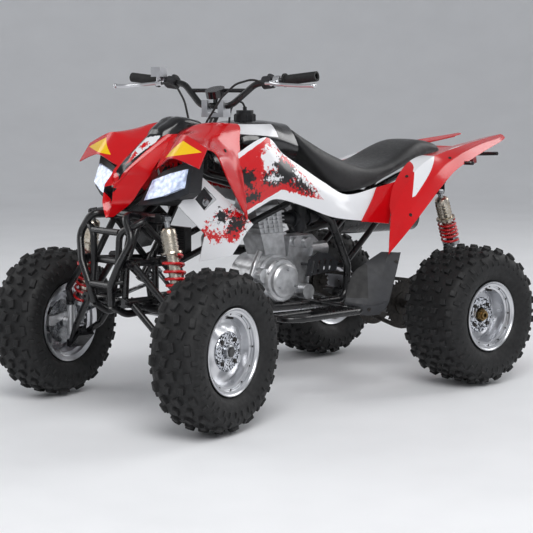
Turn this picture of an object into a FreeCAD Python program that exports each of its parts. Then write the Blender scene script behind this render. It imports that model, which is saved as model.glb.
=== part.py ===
import FreeCAD
import Part
import functools
import math
import os

# Sport quad bike: welded tube frame, double wishbones in front, swingarm and live axle behind.
# Millimetres. X points to the rider's left, Y to the rear, Z up. The origin is on the ground,
# in the middle of the overall length. The front wheels and the handlebar stand a little to the left.

V = FreeCAD.Vector
X_AXIS = V(1, 0, 0)
Y_AXIS = V(0, 1, 0)
Z_AXIS = V(0, 0, 1)

# Driving sizes
wheelbase = 1230.0
front_track = 850.0
rear_track = 820.0
steer_at_rest = 15.0         # degrees to the left of straight ahead
steer_lock = 35.0            # degrees each way from straight ahead

front_tyre_radius = 260.0    # out to the lugs' tips
front_tyre_width = 178.0
front_bead_radius = 127.0
front_rim_width = 130.0
rear_tyre_radius = 254.0
rear_tyre_width = 254.0
rear_bead_radius = 114.3
rear_rim_width = 204.0
tyre_wall = 11.0
lug_height = 13.0
rim_wall = 4.0
flange_height = 13.0
lug_pitches = 16             # round each tyre
lug_share = 0.46             # of a pitch

kingpin_inset = 70.0         # wheel's middle to the kingpin's axis
ball_joint_rise = 75.0       # ball joints above and below the wheel's axis
ball_pin_radius = 7.0
ball_housing_radius = 17.0
spindle_radius = 11.0
bolt_radius = 5.0
bush_length = 36.0
shock_eye_length = 26.0
steering_arm = 60.0
running_gap = 0.1
seat_gap = 0.3
link_gap = 7.0               # room round the tie rod's outer stud

main_tube = 14.0             # radii of the tubes
small_tube = 11.0
arm_tube = 11.0
bumper_tube = 12.5
bar_tube = 11.1
grip_radius = 17.0
grip_length = 122.0
bar_bore = 8.0               # inside of the handlebar's tube at its ends
bar_bore_depth = 60.0
plastic = 4.0                # wall of the plastics
cable_radius = 3.6
adjuster_length = 22.0

axle_radius = 17.5
rear_hub_radius = 34.0
carrier_radius = 46.0
carrier_width = 124.0
sprocket_teeth = 36
drive_teeth = 14
chain_pitch = 15.875
chain_x = 76.0
disc_radius = 98.0
disc_thickness = 4.5
front_disc_radius = 78.0

front_axle_y = -wheelbase / 2
rear_axle_y = wheelbase / 2
front_axle_z = front_tyre_radius
rear_axle_z = rear_tyre_radius
kingpin_x = front_track / 2 - kingpin_inset
upper_ball_z = front_axle_z + ball_joint_rise
lower_ball_z = front_axle_z - ball_joint_rise

# Wishbone pivots on the frame
front_pivot_y = front_axle_y - 84
rear_pivot_y = front_axle_y + 34
upper_pivot_x = 130.0
upper_pivot_z = 512.0
lower_pivot_x = 118.0
lower_pivot_z = 385.0
front_shock_top = V(200, front_axle_y - 3, 658)
front_shock_foot = V(300, front_axle_y - 1, 256)
rear_shock_top = V(100, 788, 677)
rear_shock_foot = V(100, 872, 436)
spring_radius = 31.0
spring_wire = 4.6
spring_seat_radius = 35.0
spring_start = 0.24          # shares of the shock absorber's length
spring_end = 0.80

# Steering column: a raked shaft between the pitman arm and the bar's clamps
column_foot = V(0, front_axle_y + 63, 470)
column_top = V(0, front_axle_y + 370, 985)
column_axis = (column_top - column_foot).normalize()
column_radius = 13.0
head_centre = column_top - column_axis * 190
foot_bearing = column_foot - column_axis * 26
pitman_pin = column_foot + column_axis.cross(X_AXIS) * steering_arm
pitman_pin_radius = 6.0
pitman_upper = 22.0          # the tie rods' eyes on the pitman pin, along the column
pitman_lower = -15.0
steering_eye_z = front_axle_z + 30
half_bar = 385.0
bar_y = column_top.y - 2
bar_y_z = 1012.0
bar_end_y = column_top.y + 28
bar_end_z = 1111.0
crossbar_share = 0.7         # up the bar's riser
front_disc_x = -34.0         # brake disc and wheel web, from the wheel's middle
front_web_x = 22.0
rear_web_x = 30.0
swing_pivot = V(0, 278, 324)
drive_centre = V(0, 178, 378)
drawn_front = -615.0         # the front axle's Y where the front panels' points were read
frame_shift = -120.4         # moves the middle of the overall length to the origin


def mirror(shape):
    return shape.mirror(V(0, 0, 0), X_AXIS)


def both(shape):
    """A left piece and its mirror image, as solids that don't touch."""
    return Part.makeCompound([shape, mirror(shape)])


def fuse(shapes):
    shapes = list(shapes)
    first = shapes[0]
    return first.fuse(shapes[1:]) if len(shapes) > 1 else first


def trim(shape, *others):
    """Cuts a piece back from its neighbours and keeps what is left in one lump."""
    for other in others:
        shape = shape.cut(other)
    return max(shape.Solids, key=lambda solid: solid.Volume)


def meet(start, end, radius, target):
    """A round stay from a point to the surface of its neighbour."""
    pieces = rod(start, end, radius).cut(target).Solids
    return min(pieces, key=lambda solid: (solid.CenterOfMass - V(*start)).Length)


def clevis(eye, root, half_gap, bolt=True):
    """Two tabs and their bolt, which hold an eye that lies along Y."""
    eye, root = V(*eye), V(*root)
    along = V(eye.x - root.x, 0, eye.z - root.z).normalize()
    side = V(along.z, 0, -along.x)
    corners = [root + side * 15, eye + side * 11, eye + side * 7 + along * 10,
               eye - side * 7 + along * 10, eye - side * 11, root - side * 15]
    outline = [(c.x, c.z) for c in corners]
    tabs = [plate("Y", eye.y + half_gap + 0.2, outline, 4), plate("Y", eye.y - half_gap - 4.2, outline, 4)]
    return tabs + ([boss(eye, Y_AXIS, bolt_radius, 2 * half_gap + 18)] if bolt else [])


def tube(points, radius, bend=45.0):
    """A round bar along straight runs, joined by tangent arcs."""
    pts = [V(*p) for p in points]
    edges = []
    start = pts[0]
    for before, corner, after in zip(pts, pts[1:], pts[2:]):
        back = (before - corner).normalize()
        ahead = (after - corner).normalize()
        half = back.getAngle(ahead) / 2
        room = 0.45 * min((before - corner).Length, (after - corner).Length)
        cut = min(bend / math.tan(half), room)
        inward = (back + ahead).normalize()
        arc_radius = cut * math.tan(half)
        middle = corner + inward * (arc_radius / math.sin(half) - arc_radius)
        first, last = corner + back * cut, corner + ahead * cut
        edges.append(Part.LineSegment(start, first).toShape())
        edges.append(Part.Arc(first, middle, last).toShape())
        start = last
    edges.append(Part.LineSegment(start, pts[-1]).toShape())
    ring = Part.Wire(Part.makeCircle(radius, pts[0], pts[1] - pts[0]))
    return Part.Wire(edges).makePipeShell([ring], True, False)


def rod(start, end, radius):
    start, end = V(*start), V(*end)
    return Part.makeCylinder(radius, (end - start).Length, start, end - start)


def boss(centre, direction, radius, length):
    """A cylinder with its middle at a point."""
    direction = V(*direction).normalize()
    return Part.makeCylinder(radius, length, V(*centre) - direction * (length / 2), direction)


def turned(profile, origin=V(0, 0, 0)):
    """A solid of revolution about X: the profile lists (x, radius)."""
    points = [V(x, 0, r) for x, r in profile]
    face = Part.Face(Part.makePolygon(points + points[:1]))
    solid = face.revolve(V(0, 0, 0), X_AXIS, 360)
    solid.translate(origin)
    return solid


def with_front(shape):
    """Moves a front panel, drawn for the axle at drawn_front, to the axle's own place."""
    shape.translate(V(0, front_axle_y - drawn_front, 0))
    return shape


def place(axis, station, u, v):
    if axis == "X":
        return V(station, u, v)
    if axis == "Y":
        return V(u, station, v)
    return V(u, v, station)


def sheet_outline(points, wall):
    """The closed outline of a bent sheet: a line of points and its copy, one wall to its right."""
    count = len(points)
    normals = []
    for (u0, v0), (u1, v1) in zip(points, points[1:]):
        length = math.hypot(u1 - u0, v1 - v0)
        normals.append(((v1 - v0) / length, (u0 - u1) / length))
    inner = []
    for i in range(count):
        a = normals[max(i - 1, 0)]
        b = normals[min(i, count - 2)]
        n = (a[0] + b[0], a[1] + b[1])
        size = math.hypot(*n)
        n = (n[0] / size, n[1] / size)
        lengthen = 1.0 / max(0.5, n[0] * a[0] + n[1] * a[1])
        inner.append((points[i][0] + n[0] * wall * lengthen, points[i][1] + n[1] * wall * lengthen))
    return list(points) + inner[::-1]


def loft(axis, sections, ruled=True):
    """A solid through flat closed outlines: each section is (station, [(u, v), ...])."""
    wires = []
    for station, outline in sections:
        points = [place(axis, station, u, v) for u, v in outline]
        wires.append(Part.makePolygon(points + points[:1]))
    return Part.makeLoft(wires, True, ruled)


def panel(axis, sections, wall=plastic):
    """A thin moulded panel through open section lines."""
    return loft(axis, [(s, sheet_outline(points, wall)) for s, points in sections])


def plate(axis, station, outline, thickness):
    """A flat plate: an outline pulled along an axis."""
    points = [place(axis, station, u, v) for u, v in outline]
    face = Part.Face(Part.makePolygon(points + points[:1]))
    return face.extrude({"X": X_AXIS, "Y": Y_AXIS, "Z": Z_AXIS}[axis] * thickness)


def symmetric(half):
    """A section line across the bike, from its left half, which starts at the outside."""
    return half + [(-u, v) for u, v in reversed(half) if abs(u) > 1e-6]


def steered(shape, side):
    """Turns a front wheel's piece about its kingpin to where it rests."""
    return shape.rotate(V(side * kingpin_x, front_axle_y, 0), Z_AXIS, steer_at_rest) or shape


def turned_about_column(shape):
    """Turns the column's own pieces to where they rest."""
    return shape.rotate(column_foot, column_axis, steer_at_rest) or shape


def turned_bars(shape):
    """Turns the bar's pieces to where they rest; the bar is set level there."""
    return shape.rotate(column_top, Z_AXIS, steer_at_rest) or shape


def spring(start, end, radius, wire, turns):
    """A coil spring between two points."""
    start, end = V(*start), V(*end)
    length = (end - start).Length
    helix = Part.makeHelix((length - 2 * wire) / turns, length - 2 * wire, radius)
    helix.translate(V(0, 0, wire))
    first = helix.Edges[0]
    ring = Part.Wire(Part.makeCircle(wire, first.valueAt(first.FirstParameter),
                                     first.tangentAt(first.FirstParameter)))
    coil = Part.Wire(helix.Edges).makePipeShell([ring], True, True)
    turn = FreeCAD.Rotation(Z_AXIS, end - start)
    coil.Placement = FreeCAD.Placement(start, turn)
    return coil


# Wheels

def around(shape, turn):
    """A copy of a piece, turned about X by a number of pitches."""
    return shape.copy().rotate(V(0, 0, 0), X_AXIS, 360 * turn / lug_pitches)


@functools.cache
def tyre(radius, width, bead, rim_width):
    """A hollow tyre about X at the origin, built from straight pitches with a crown lug and two shoulder lugs."""
    half, seat_half = width / 2, rim_width / 2 - rim_wall - seat_gap
    lowest, middle, crown = bead + seat_gap, (radius + bead) / 2, radius - lug_height
    right = [(seat_half, lowest), (seat_half, lowest + flange_height + 3), (half, middle),
             (half * 0.86, crown - 18), (half * 0.5, crown - 2)]
    inside = [(half - tyre_wall - 4, middle + 14), (seat_half - tyre_wall, lowest)]
    outline = right + [(-x, z) for x, z in reversed(right)] + [(-x, z) for x, z in reversed(inside)] + inside
    spread = radius * math.tan(math.pi / lug_pitches)
    wedge = plate("X", -half, [(0, 0), (-spread, radius), (spread, radius)], width)
    sector = plate("Y", -spread, outline, 2 * spread).common(wedge)
    long = lug_share * 2 * spread
    crown_lug = Part.makeBox(half * 0.64, long, lug_height + 8, V(-half * 0.32, -long / 2, crown - 8))
    shoulder_lug = plate("Y", long * 0.2, [(half * 0.54, crown - 14), (half * 0.8, crown - 28),
                                           (half * 0.88, crown - 5), (half * 0.6, radius - 5)], long * 0.7)
    twin = shoulder_lug.copy().rotate(V(0, 0, 0), Z_AXIS, 180)
    pitch = fuse([sector, crown_lug, shoulder_lug, twin])
    return fuse([around(pitch, i) for i in range(lug_pitches)])


def rim(bead, width, web_x, bore):
    """A spun aluminium rim about X: flanges, bead seats, drop centre and a dished web with its bore."""
    half, wall = width / 2, rim_wall
    flange = bead + flange_height
    drop = bead - 12
    inner = drop - wall
    well = half * 0.35
    profile = [(-half - 4, flange), (-half, flange), (-half + wall, bead), (-half + 26, bead - 1),
               (-well, drop), (well, drop), (half - 26, bead - 1), (half - wall, bead), (half, flange),
               (half + 4, flange), (half + 4, flange - 5), (half, bead - wall), (well + 3, inner),
               (web_x + 18, inner), (web_x + 26, inner - 12), (web_x + 8, bead * 0.66),
               (web_x + 5, bore), (web_x, bore), (web_x + 2, bead * 0.66), (web_x + 18, inner - 14),
               (web_x + 8, inner), (-well - 3, inner), (-half, bead - wall), (-half - 4, flange - 5)]
    return turned(profile)


@functools.cache
def frame():
    """The welded frame: lower cradle, front box for the wishbones, upper rails and steering head."""
    front, back = front_axle_y, swing_pivot.y
    low_front = (85, front - 85, lower_pivot_z)
    high_front = (90, front - 80, upper_pivot_z)
    box_rear = (92, front + 130, 500)
    sill_front = (95, front + 160, 318)
    tower = (70, front - 10, 650)
    seat_node = (100, 60, 694)
    head_node = head_centre - column_axis * 10
    head_side = (30, head_node.y, head_node.z)
    left = [
        tube([low_front, sill_front, (105, 40, 306), (110, back - 4, 308), (110, back + 4, 430),
              (118, 190, 600), seat_node, (52, front + 290, 790), head_side], main_tube),
        tube([low_front, high_front, tower, (36, head_node.y - 40, head_node.z - 16), head_side], small_tube),
        tube([high_front, box_rear, sill_front], small_tube),
        tube([low_front, (92, rear_pivot_y, lower_pivot_z), (91, rear_pivot_y, 508)], small_tube, 20),
        rod(box_rear, tower, small_tube),
        rod(box_rear, seat_node, small_tube),
        rod((17, foot_bearing.y - 4, foot_bearing.z + 4), (92, front + 25, 508), small_tube - 3),
        rod((96, back, swing_pivot.z), (112, back, swing_pivot.z), 20),
    ]
    for x, z in ((upper_pivot_x, upper_pivot_z), (lower_pivot_x, lower_pivot_z)):
        for y in (front_pivot_y, rear_pivot_y):
            left += clevis((x, y, z), (92, y, z), bush_length / 2)
    shock = front_shock_top
    left += clevis(shock, (shock.x - 36, shock.y, shock.z + 2), shock_eye_length / 2)
    spans = [(85, low_front[1:]), (90, high_front[1:]), (95, sill_front[1:]), (105, (40, 306)),
             (100, seat_node[1:]), (110, (back + 4, 430)), (70, tower[1:]), (92, box_rear[1:])]
    crossings = [rod((-x, y, z), (x, y, z), small_tube) for x, (y, z) in spans]
    shock_bar = rod((28 - shock.x, shock.y, shock.z), (shock.x - 28, shock.y, shock.z), 15)
    bore = boss(column_foot, column_axis, column_radius + running_gap, 1400)
    head = boss(head_centre, column_axis, column_radius + 9, 90).cut(bore)
    foot = boss(foot_bearing, column_axis, column_radius + 7, 22).cut(bore)
    cases, tank = engine_cases(), fuel_tank()
    mounts = [meet((x, 40, 306), (x, 40, 380), 10, cases) for x in (-40, 40)]
    mounts.append(meet((0, back + 4, 430), (0, 150, 420), 12, cases))
    for side in (1, -1):
        mounts.append(meet((side * 84, -60, 722), (side * 84, -60, 800), 9, tank))
        mounts.append(meet((side * 62, -190, 756), (side * 70, -190, 850), 9, tank))
    solid = fuse(left + [mirror(t) for t in left] + crossings + [shock_bar, head, foot] + mounts)
    return solid.cut(rod((-104, back, swing_pivot.z), (104, back, swing_pivot.z), 9 + running_gap))


@functools.cache
def rear_subframe():
    """The bolted rear frame under the seat and the tail, with the seat's and fenders' rests."""
    x = 84
    route = [(x, 62, 682), (x + 6, 230, 680), (x + 8, 400, 690), (x + 4, 560, 744), (x, 700, 781),
             (70, 900, 808), (62, 1040, 824)]
    rail = tube(route, small_tube)
    strut = rod((94, 300, 448), (x - 2, 690, 777), small_tube)
    cross = [rod((-w, y, z), (w, y, z), small_tube - 1)
             for w, y, z in ((x + 7, 400, 690), (x, 700, 781), (64, 1020, 821))]
    cushion, skin = seat(), rear_fenders()
    pads = [meet((x + 5, y, z), (x + 5, y, z + 90), 9, cushion) for y, z in ((220, 680), (430, 699), (640, 768))]
    for y, z, outer in ((470, 714, 300), (760, 789, 290), (960, 814, 240)):
        pads.append(meet((x - 8 if y > 800 else x, y, z), (outer, y, z + (y - 560) * 0.02), 7, skin))
    top = rear_shock_top
    pads += clevis(top, (top.x - 4, top.y, top.z + 50), shock_eye_length / 2)
    half = [rail, strut] + pads[:6]
    post = rod((top.x - 4, top.y, top.z + 46), (x - 6, top.y + 4, 790), small_tube)
    bridge = Part.makeBox(30, 2 * 22, 14, V(top.x - 19, top.y - 22, top.z + 30))
    solid = fuse(half + [mirror(piece) for piece in half] + cross + pads[6:] + [post, bridge])
    return trim(solid, frame(), cushion)


def front_bumper():
    """The tube bumper: two side loops, a bar between two uprights, and braces back to the frame."""
    y = front_axle_y
    loop = tube([(48, y - 112, 372), (62, y - 124, 440), (104, y - 122, 508), (148, y - 98, 592),
                 (88, y - 88, 668), (72, y - 22, 656)], bumper_tube)
    upright = tube([(58, y - 112, 420), (68, y - 98, 500), (73, y - 95, 612), (132, y - 84, 632),
                    (152, y - 50, 652), (112, y - 14, 654)], small_tube)
    low = tube([(48, y - 112, 372), (50, y - 56, 338), (80, y + 60, 352)], bumper_tube)
    strap = rod((62, y - 120, 446), (90, y - 78, 452), 7)
    half = [loop, upright, low, strap]
    bars = [rod((-62, y - 120, 436), (62, y - 120, 436), small_tube),
            rod((-73, y - 95, 610), (73, y - 95, 610), small_tube)]
    return trim(fuse(half + [mirror(piece) for piece in half] + bars), frame())


def skid_plate():
    """The aluminium plate below the front box and the engine."""
    thick = 4
    sections = []
    for y, half, top in ((front_axle_y + 64, 76, 325), (front_axle_y + 160, 102, 303.7), (40, 110, 291.7),
                         (120, 112, 292.2)):
        sections.append((y, [(-half, top - thick), (half, top - thick), (half, top), (-half, top)]))
    return loft("Y", sections)


# Front suspension

def wishbone(front_pivot, rear_pivot, outer, waist):
    """A tubular A-arm with pivot bushes at the frame and a ball-joint housing at the knuckle."""
    bushes = [boss(p, Y_AXIS, 15, bush_length) for p in (front_pivot, rear_pivot)]
    legs = []
    for pivot, side in ((front_pivot, -1), (rear_pivot, 1)):
        route = [pivot, (waist[0], front_axle_y + side * waist[1], waist[2]), outer]
        legs.append(tube(route, arm_tube, 60))
    housing = boss(outer, Z_AXIS, ball_housing_radius, 24)
    arm = fuse(bushes + legs + [housing])
    for pivot in (front_pivot, rear_pivot):
        arm = arm.cut(boss(pivot, Y_AXIS, bolt_radius + running_gap, 60))
    return arm.cut(boss(outer, Z_AXIS, ball_pin_radius + running_gap, 60))


def upper_arms():
    outer = (kingpin_x, front_axle_y, upper_ball_z)
    arm = wishbone((upper_pivot_x, front_pivot_y, upper_pivot_z), (upper_pivot_x, rear_pivot_y, upper_pivot_z),
                   outer, (276, 62, 394))
    return both(arm)


def lower_arms():
    outer = (kingpin_x, front_axle_y, lower_ball_z)
    arm = wishbone((lower_pivot_x, front_pivot_y, lower_pivot_z), (lower_pivot_x, rear_pivot_y, lower_pivot_z),
                   outer, (250, 50, 265))
    eye = front_shock_foot
    saddle = plate("Y", eye.y - 32, [(eye.x - 34, eye.z - 22), (eye.x - 40, eye.z - 31),
                                     (eye.x + 20, eye.z - 80), (eye.x + 25, eye.z - 68)], 64)
    return both(fuse([arm, saddle] + clevis(eye, (eye.x - 4, eye.y, eye.z - 44), shock_eye_length / 2)))


def damper(top, foot, body_radius):
    """A shock absorber without its spring: eyes, neck, ringed body, shaft and spring seats."""
    along = (foot - top).normalize()
    length = (foot - top).Length
    pieces = [boss(p, Y_AXIS, 12, shock_eye_length) for p in (top, foot)]
    pieces.append(rod(top, top + along * 34, 8))
    pieces.append(rod(top + along * 30, top + along * (length * 0.6), body_radius))
    pieces += [boss(top + along * (34 + step), along, body_radius + 3, 6) for step in (0, 14, 28)]
    pieces.append(rod(top + along * (length * 0.5), foot, 8))
    pieces.append(boss(foot - along * 30, along, 15, 22))
    pieces.append(boss(top + along * (length * spring_start), along, spring_seat_radius, 8))
    pieces.append(boss(top + along * (length * spring_end), along, spring_seat_radius, 8))
    solid = fuse(pieces)
    for p in (top, foot):
        solid = solid.cut(boss(p, Y_AXIS, bolt_radius + running_gap, 60))
    return solid


def shock_lines():
    """Each shock absorber as (top, foot, body radius)."""
    lines = []
    for side in (1, -1):
        lines.append((V(side * front_shock_top.x, front_shock_top.y, front_shock_top.z),
                      V(side * front_shock_foot.x, front_shock_foot.y, front_shock_foot.z), 22))
    lines.append((rear_shock_top, rear_shock_foot, 22))
    return lines


def shock_absorbers():
    return Part.makeCompound([damper(*line) for line in shock_lines()])


def shock_springs():
    coils = []
    for top, foot, body in shock_lines():
        start = top + (foot - top) * spring_start
        end = top + (foot - top) * spring_end
        along = (end - start).normalize()
        coils.append(spring(start + along * 4.2, end - along * 4.2, spring_radius, spring_wire, 6))
    return Part.makeCompound(coils)


def knuckle(side):
    """A front knuckle: upright with its ball pins, spindle, steering arm and brake calliper."""
    y, z = front_axle_y, front_axle_z
    top, bottom = upper_ball_z - 14, lower_ball_z + 26
    centre = V(kingpin_x, y, 0)
    upright = Part.makeCylinder(15, top - bottom, centre + Z_AXIS * bottom)
    pins = Part.makeCylinder(ball_pin_radius, upper_ball_z - lower_ball_z + 30,
                             centre + Z_AXIS * (lower_ball_z - 15))
    boss_in = boss((kingpin_x + 8, y, z), X_AXIS, 24, 20)
    spindle = rod((kingpin_x, y, z), (kingpin_x + kingpin_inset + 46, y, z), spindle_radius)
    arm = plate("Z", steering_eye_z - 26, [(kingpin_x - 13, y), (kingpin_x + 13, y),
                                           (kingpin_x + 9, y + steering_arm + 9),
                                           (kingpin_x - 9, y + steering_arm + 9)], 8)
    stud = Part.makeCylinder(5, 50, V(kingpin_x, y + steering_arm, steering_eye_z - 26))
    nut = Part.makeCylinder(9, 7, V(kingpin_x, y + steering_arm, steering_eye_z + 20))
    disc_x = kingpin_x + kingpin_inset + front_disc_x
    bridge = Part.makeBox(34, 34, 34, V(disc_x - 17, y - 92, z - 6))
    slot = Part.makeBox(14, 40, 60, V(disc_x - 7, y - 86, z - 20))
    hanger = plate("X", disc_x - 17, [(y - 70, z - 4), (y - 4, z + 14), (y - 4, z + 34), (y - 70, z + 26)], 9)
    link = Part.makeBox(disc_x - 17 - kingpin_x + 4, 18, 18, V(kingpin_x, y - 12, z + 15))
    calliper = fuse([bridge.cut(slot), hanger, link])
    solid = fuse([upright, pins, boss_in, spindle, arm, stud, nut, calliper])
    if side < 0:
        solid = mirror(solid)
    return steered(solid, side)


def tie_rod(side):
    """A tie rod from the pitman arm's pin to the knuckle's arm; its outer eye has room round the stud."""
    lift = pitman_upper if side > 0 else pitman_lower
    inner = pitman_pin + column_axis * lift
    outer = V(side * kingpin_x, front_axle_y + steering_arm, steering_eye_z)
    eye_in = boss(inner, column_axis, 15, 15)
    eye_out = boss(outer, Z_AXIS, 5 + link_gap + 7, 14)
    towards = (outer - inner).normalize()
    start = inner + towards * 12
    shaft = rod(start, outer - towards * (5 + link_gap + 3), 7.5)
    solid = fuse([eye_in, eye_out, shaft])
    solid = solid.cut(boss(inner, column_axis, pitman_pin_radius + running_gap, 40))
    solid = solid.cut(boss(outer, Z_AXIS, 5 + link_gap, 60))
    swing = FreeCAD.Rotation(column_axis, steer_at_rest).multVec(pitman_pin - column_foot)
    solid.translate(swing - (pitman_pin - column_foot))
    return solid


# Steering

def steering_column():
    """The raked shaft with its pitman arm, pin and top clamp."""
    shaft = rod(column_foot - column_axis * 40, column_top, column_radius)
    down = column_foot + column_axis * 0
    across = X_AXIS
    outward = column_axis.cross(X_AXIS)
    corners = [down + across * 17, down + across * 10 + outward * (steering_arm + 9),
               down - across * 10 + outward * (steering_arm + 9), down - across * 17]
    face = Part.Face(Part.makePolygon([c - column_axis * 4 for c in corners + corners[:1]]))
    pitman = face.extrude(column_axis * 8)
    pin = rod(pitman_pin + column_axis * (pitman_lower - 12), pitman_pin + column_axis * (pitman_upper + 12),
              pitman_pin_radius)
    solid = fuse([shaft, pitman, pin])
    return turned_about_column(solid)


def bar_bends(side):
    """The two bends of one side of the bar."""
    return V(side * 62, bar_y, bar_y_z), V(side * 150, bar_y + 22, bar_end_z - 24)


def bar_tip(side):
    return V(side * half_bar, bar_end_y, bar_end_z)


def bar_route():
    low_right, high_right = bar_bends(-1)
    low_left, high_left = bar_bends(1)
    return [bar_tip(-1), high_right, low_right, low_left, high_left, bar_tip(1)]


def crossbar_end(side):
    """Where the crossbar meets the bar."""
    low, high = bar_bends(side)
    return low + (high - low) * crossbar_share


@functools.cache
def handlebar():
    """The bent bar with its crossbar, open at both ends."""
    bar = tube(bar_route(), bar_tube, 60)
    solid = bar.fuse(rod(crossbar_end(-1), crossbar_end(1), 7))
    for s in (1, -1):
        end, inward = along_bar(s, 0)
        solid = solid.cut(rod(end - inward * 5, end + inward * bar_bore_depth, bar_bore))
    return turned_bars(solid)


def bar_clamps():
    """The two clamps that hold the bar on the head of the column."""
    pieces = []
    for s in (1, -1):
        block = Part.makeBox(24, 42, 46, V(s * 34 - 12, bar_y - 21, bar_y_z - 26))
        pieces.append(block)
    yoke = Part.makeBox(92, 46, 14, V(-46, bar_y - 23, bar_y_z - 38))
    solid = fuse(pieces + [yoke])
    solid = turned_bars(solid)
    solid = solid.cut(turned_bars(tube(bar_route(), bar_tube, 60)))
    return solid.cut(turned_about_column(rod(column_foot, column_top, column_radius)))


def along_bar(side, distance):
    """A point on the straight end of the bar, a distance in from its tip."""
    end = bar_tip(side)
    inward = (bar_bends(side)[1] - end).normalize()
    return end + inward * distance, inward


def grips():
    pieces = []
    for s in (1, -1):
        start, inward = along_bar(s, 0)
        sleeve = rod(start - inward * 3, start + inward * grip_length, grip_radius)
        flange = rod(start + inward * (grip_length - 6), start + inward * grip_length, grip_radius + 6)
        core = rod(start - inward * 9, start + inward * (grip_length + 5), bar_tube)
        pieces.append(turned_bars(fuse([sleeve, flange]).cut(core)))
    return Part.makeCompound(pieces)


def levers():
    """The clutch and brake levers with their perches and the brake's reservoir."""
    pieces = []
    for s in (1, -1):
        start, inward = along_bar(s, grip_length + 24)
        perch = rod(start - inward * 12, start + inward * 12, 19)
        reach = start + V(0, -46, -8)
        bracket = rod(start, reach, 9)
        blade = tube([reach + V(-s * 6, 4, 2), reach + V(s * 50, -18, -4), reach + V(s * 130, -8, -8),
                      reach + V(s * 172, -12, -8)], 6, 80)
        knob = Part.makeSphere(9, reach + V(s * 176, -12, -8))
        bore = rod(start - inward * 20, start + inward * 20, bar_tube)
        adjuster = rod(reach, reach + V(-s * adjuster_length, 0, 0), 5)
        lever = fuse([perch, bracket, blade, knob, adjuster]).cut(bore)
        if s < 0:
            cup = Part.makeBox(40, 40, 34, start + V(-22, -50, 16))
            neck = rod(start + V(-8, -24, 0), start + V(-8, -24, 18), 9)
            lever = fuse([lever, neck, cup]).cut(bore)
        pieces.append(turned_bars(lever))
    return Part.makeCompound(pieces)


def switch_housings():
    """The thumb throttle on the right and the switch block on the left."""
    pieces = []
    for s in (1, -1):
        start, inward = along_bar(s, grip_length + 62)
        body = rod(start - inward * 18, start + inward * 18, 22)
        bulge = rod(start + V(0, 0, 0), start + V(0, 16, 20), 14)
        bore = rod(start - inward * 30, start + inward * 30, bar_tube)
        pieces.append(turned_bars(fuse([body, bulge]).cut(bore)))
    return Part.makeCompound(pieces)


def gauge():
    """The small display on the bar's clamps."""
    level = crossbar_end(1).z - 7
    body = boss((0, bar_y - 2, level), V(0, -0.35, 1), 34, 26)
    foot = rod((0, bar_y, bar_y_z + 11), (0, bar_y - 2, level - 10), 9)
    return trim(turned_bars(fuse([body, foot])), handlebar())


def front_hub(side):
    """A front hub on its spindle, with the brake disc."""
    centre = V(kingpin_x + kingpin_inset, front_axle_y, front_axle_z)
    bore = spindle_radius + running_gap
    disc, reach = front_disc_x, front_web_x
    profile = [(disc - 2, front_disc_radius), (disc + 2, front_disc_radius), (disc + 2, 30), (reach - 4, 26),
               (reach - 4, 46), (reach + 2, 46), (reach + 2, 24), (reach + 34, 22), (reach + 36, 18),
               (reach + 36, 0.01), (reach + 30, 0.01), (reach + 30, bore), (disc - 6, bore), (disc - 6, 28),
               (disc - 2, 28)]
    solid = turned(profile, centre)
    if side < 0:
        solid = mirror(solid)
    return steered(solid, side)


def front_rim(side):
    centre = V(kingpin_x + kingpin_inset, front_axle_y, front_axle_z)
    solid = rim(front_bead_radius, front_rim_width, front_web_x + 2, 24 + seat_gap)
    solid.translate(centre)
    if side < 0:
        solid = mirror(solid)
    return steered(solid, side)


def front_tyre(side):
    solid = tyre(front_tyre_radius, front_tyre_width, front_bead_radius, front_rim_width).copy()
    solid.translate(V(side * (kingpin_x + kingpin_inset), front_axle_y, front_axle_z))
    return steered(solid, side)


# Rear axle

def rear_axle():
    """The live axle with its wheel hubs, the driven sprocket and the brake disc."""
    half = rear_track / 2
    shaft = rod((-half - 6, rear_axle_y, rear_axle_z), (half + 6, rear_axle_y, rear_axle_z), axle_radius)
    hubs = []
    for s in (1, -1):
        x = s * (half + rear_web_x)
        hubs.append(boss((x - s * 22, rear_axle_y, rear_axle_z), X_AXIS, rear_hub_radius, 44))
        hubs.append(boss((x - s * 3, rear_axle_y, rear_axle_z), X_AXIS, 62, 6))
        hubs.append(boss((x + s * 16, rear_axle_y, rear_axle_z), X_AXIS, 20, 32))
        hubs.append(boss((s * chain_x * 0.985, rear_axle_y, rear_axle_z), X_AXIS, 44, 14))
    sprocket = toothed_wheel(sprocket_teeth)
    sprocket.translate(V(chain_x - 3, rear_axle_y, rear_axle_z))
    disc = boss((-chain_x, rear_axle_y, rear_axle_z), X_AXIS, disc_radius, disc_thickness)
    return fuse([shaft, sprocket, disc] + hubs)


def toothed_wheel(teeth):
    """A sprocket 6 mm thick about X, with a gap at the angle zero, which points up."""
    pitch_radius = chain_pitch / 2 / math.sin(math.pi / teeth)
    points = []
    for i in range(teeth):
        for share, radius in ((-0.5, 5.5), (-0.2, -4.5), (0.2, -4.5)):
            angle = 2 * math.pi * (i + share) / teeth
            points.append(V(0, (pitch_radius + radius) * math.sin(angle), (pitch_radius + radius) * math.cos(angle)))
    return Part.Face(Part.makePolygon(points + points[:1])).extrude(X_AXIS * 6)


def rear_rim(side):
    solid = rim(rear_bead_radius, rear_rim_width, rear_web_x, 30)
    solid.translate(V(rear_track / 2, rear_axle_y, rear_axle_z))
    return solid if side > 0 else mirror(solid)


def rear_tyre(side):
    solid = tyre(rear_tyre_radius, rear_tyre_width, rear_bead_radius, rear_rim_width).copy()
    solid.translate(V(side * rear_track / 2, rear_axle_y, rear_axle_z))
    return solid


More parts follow.
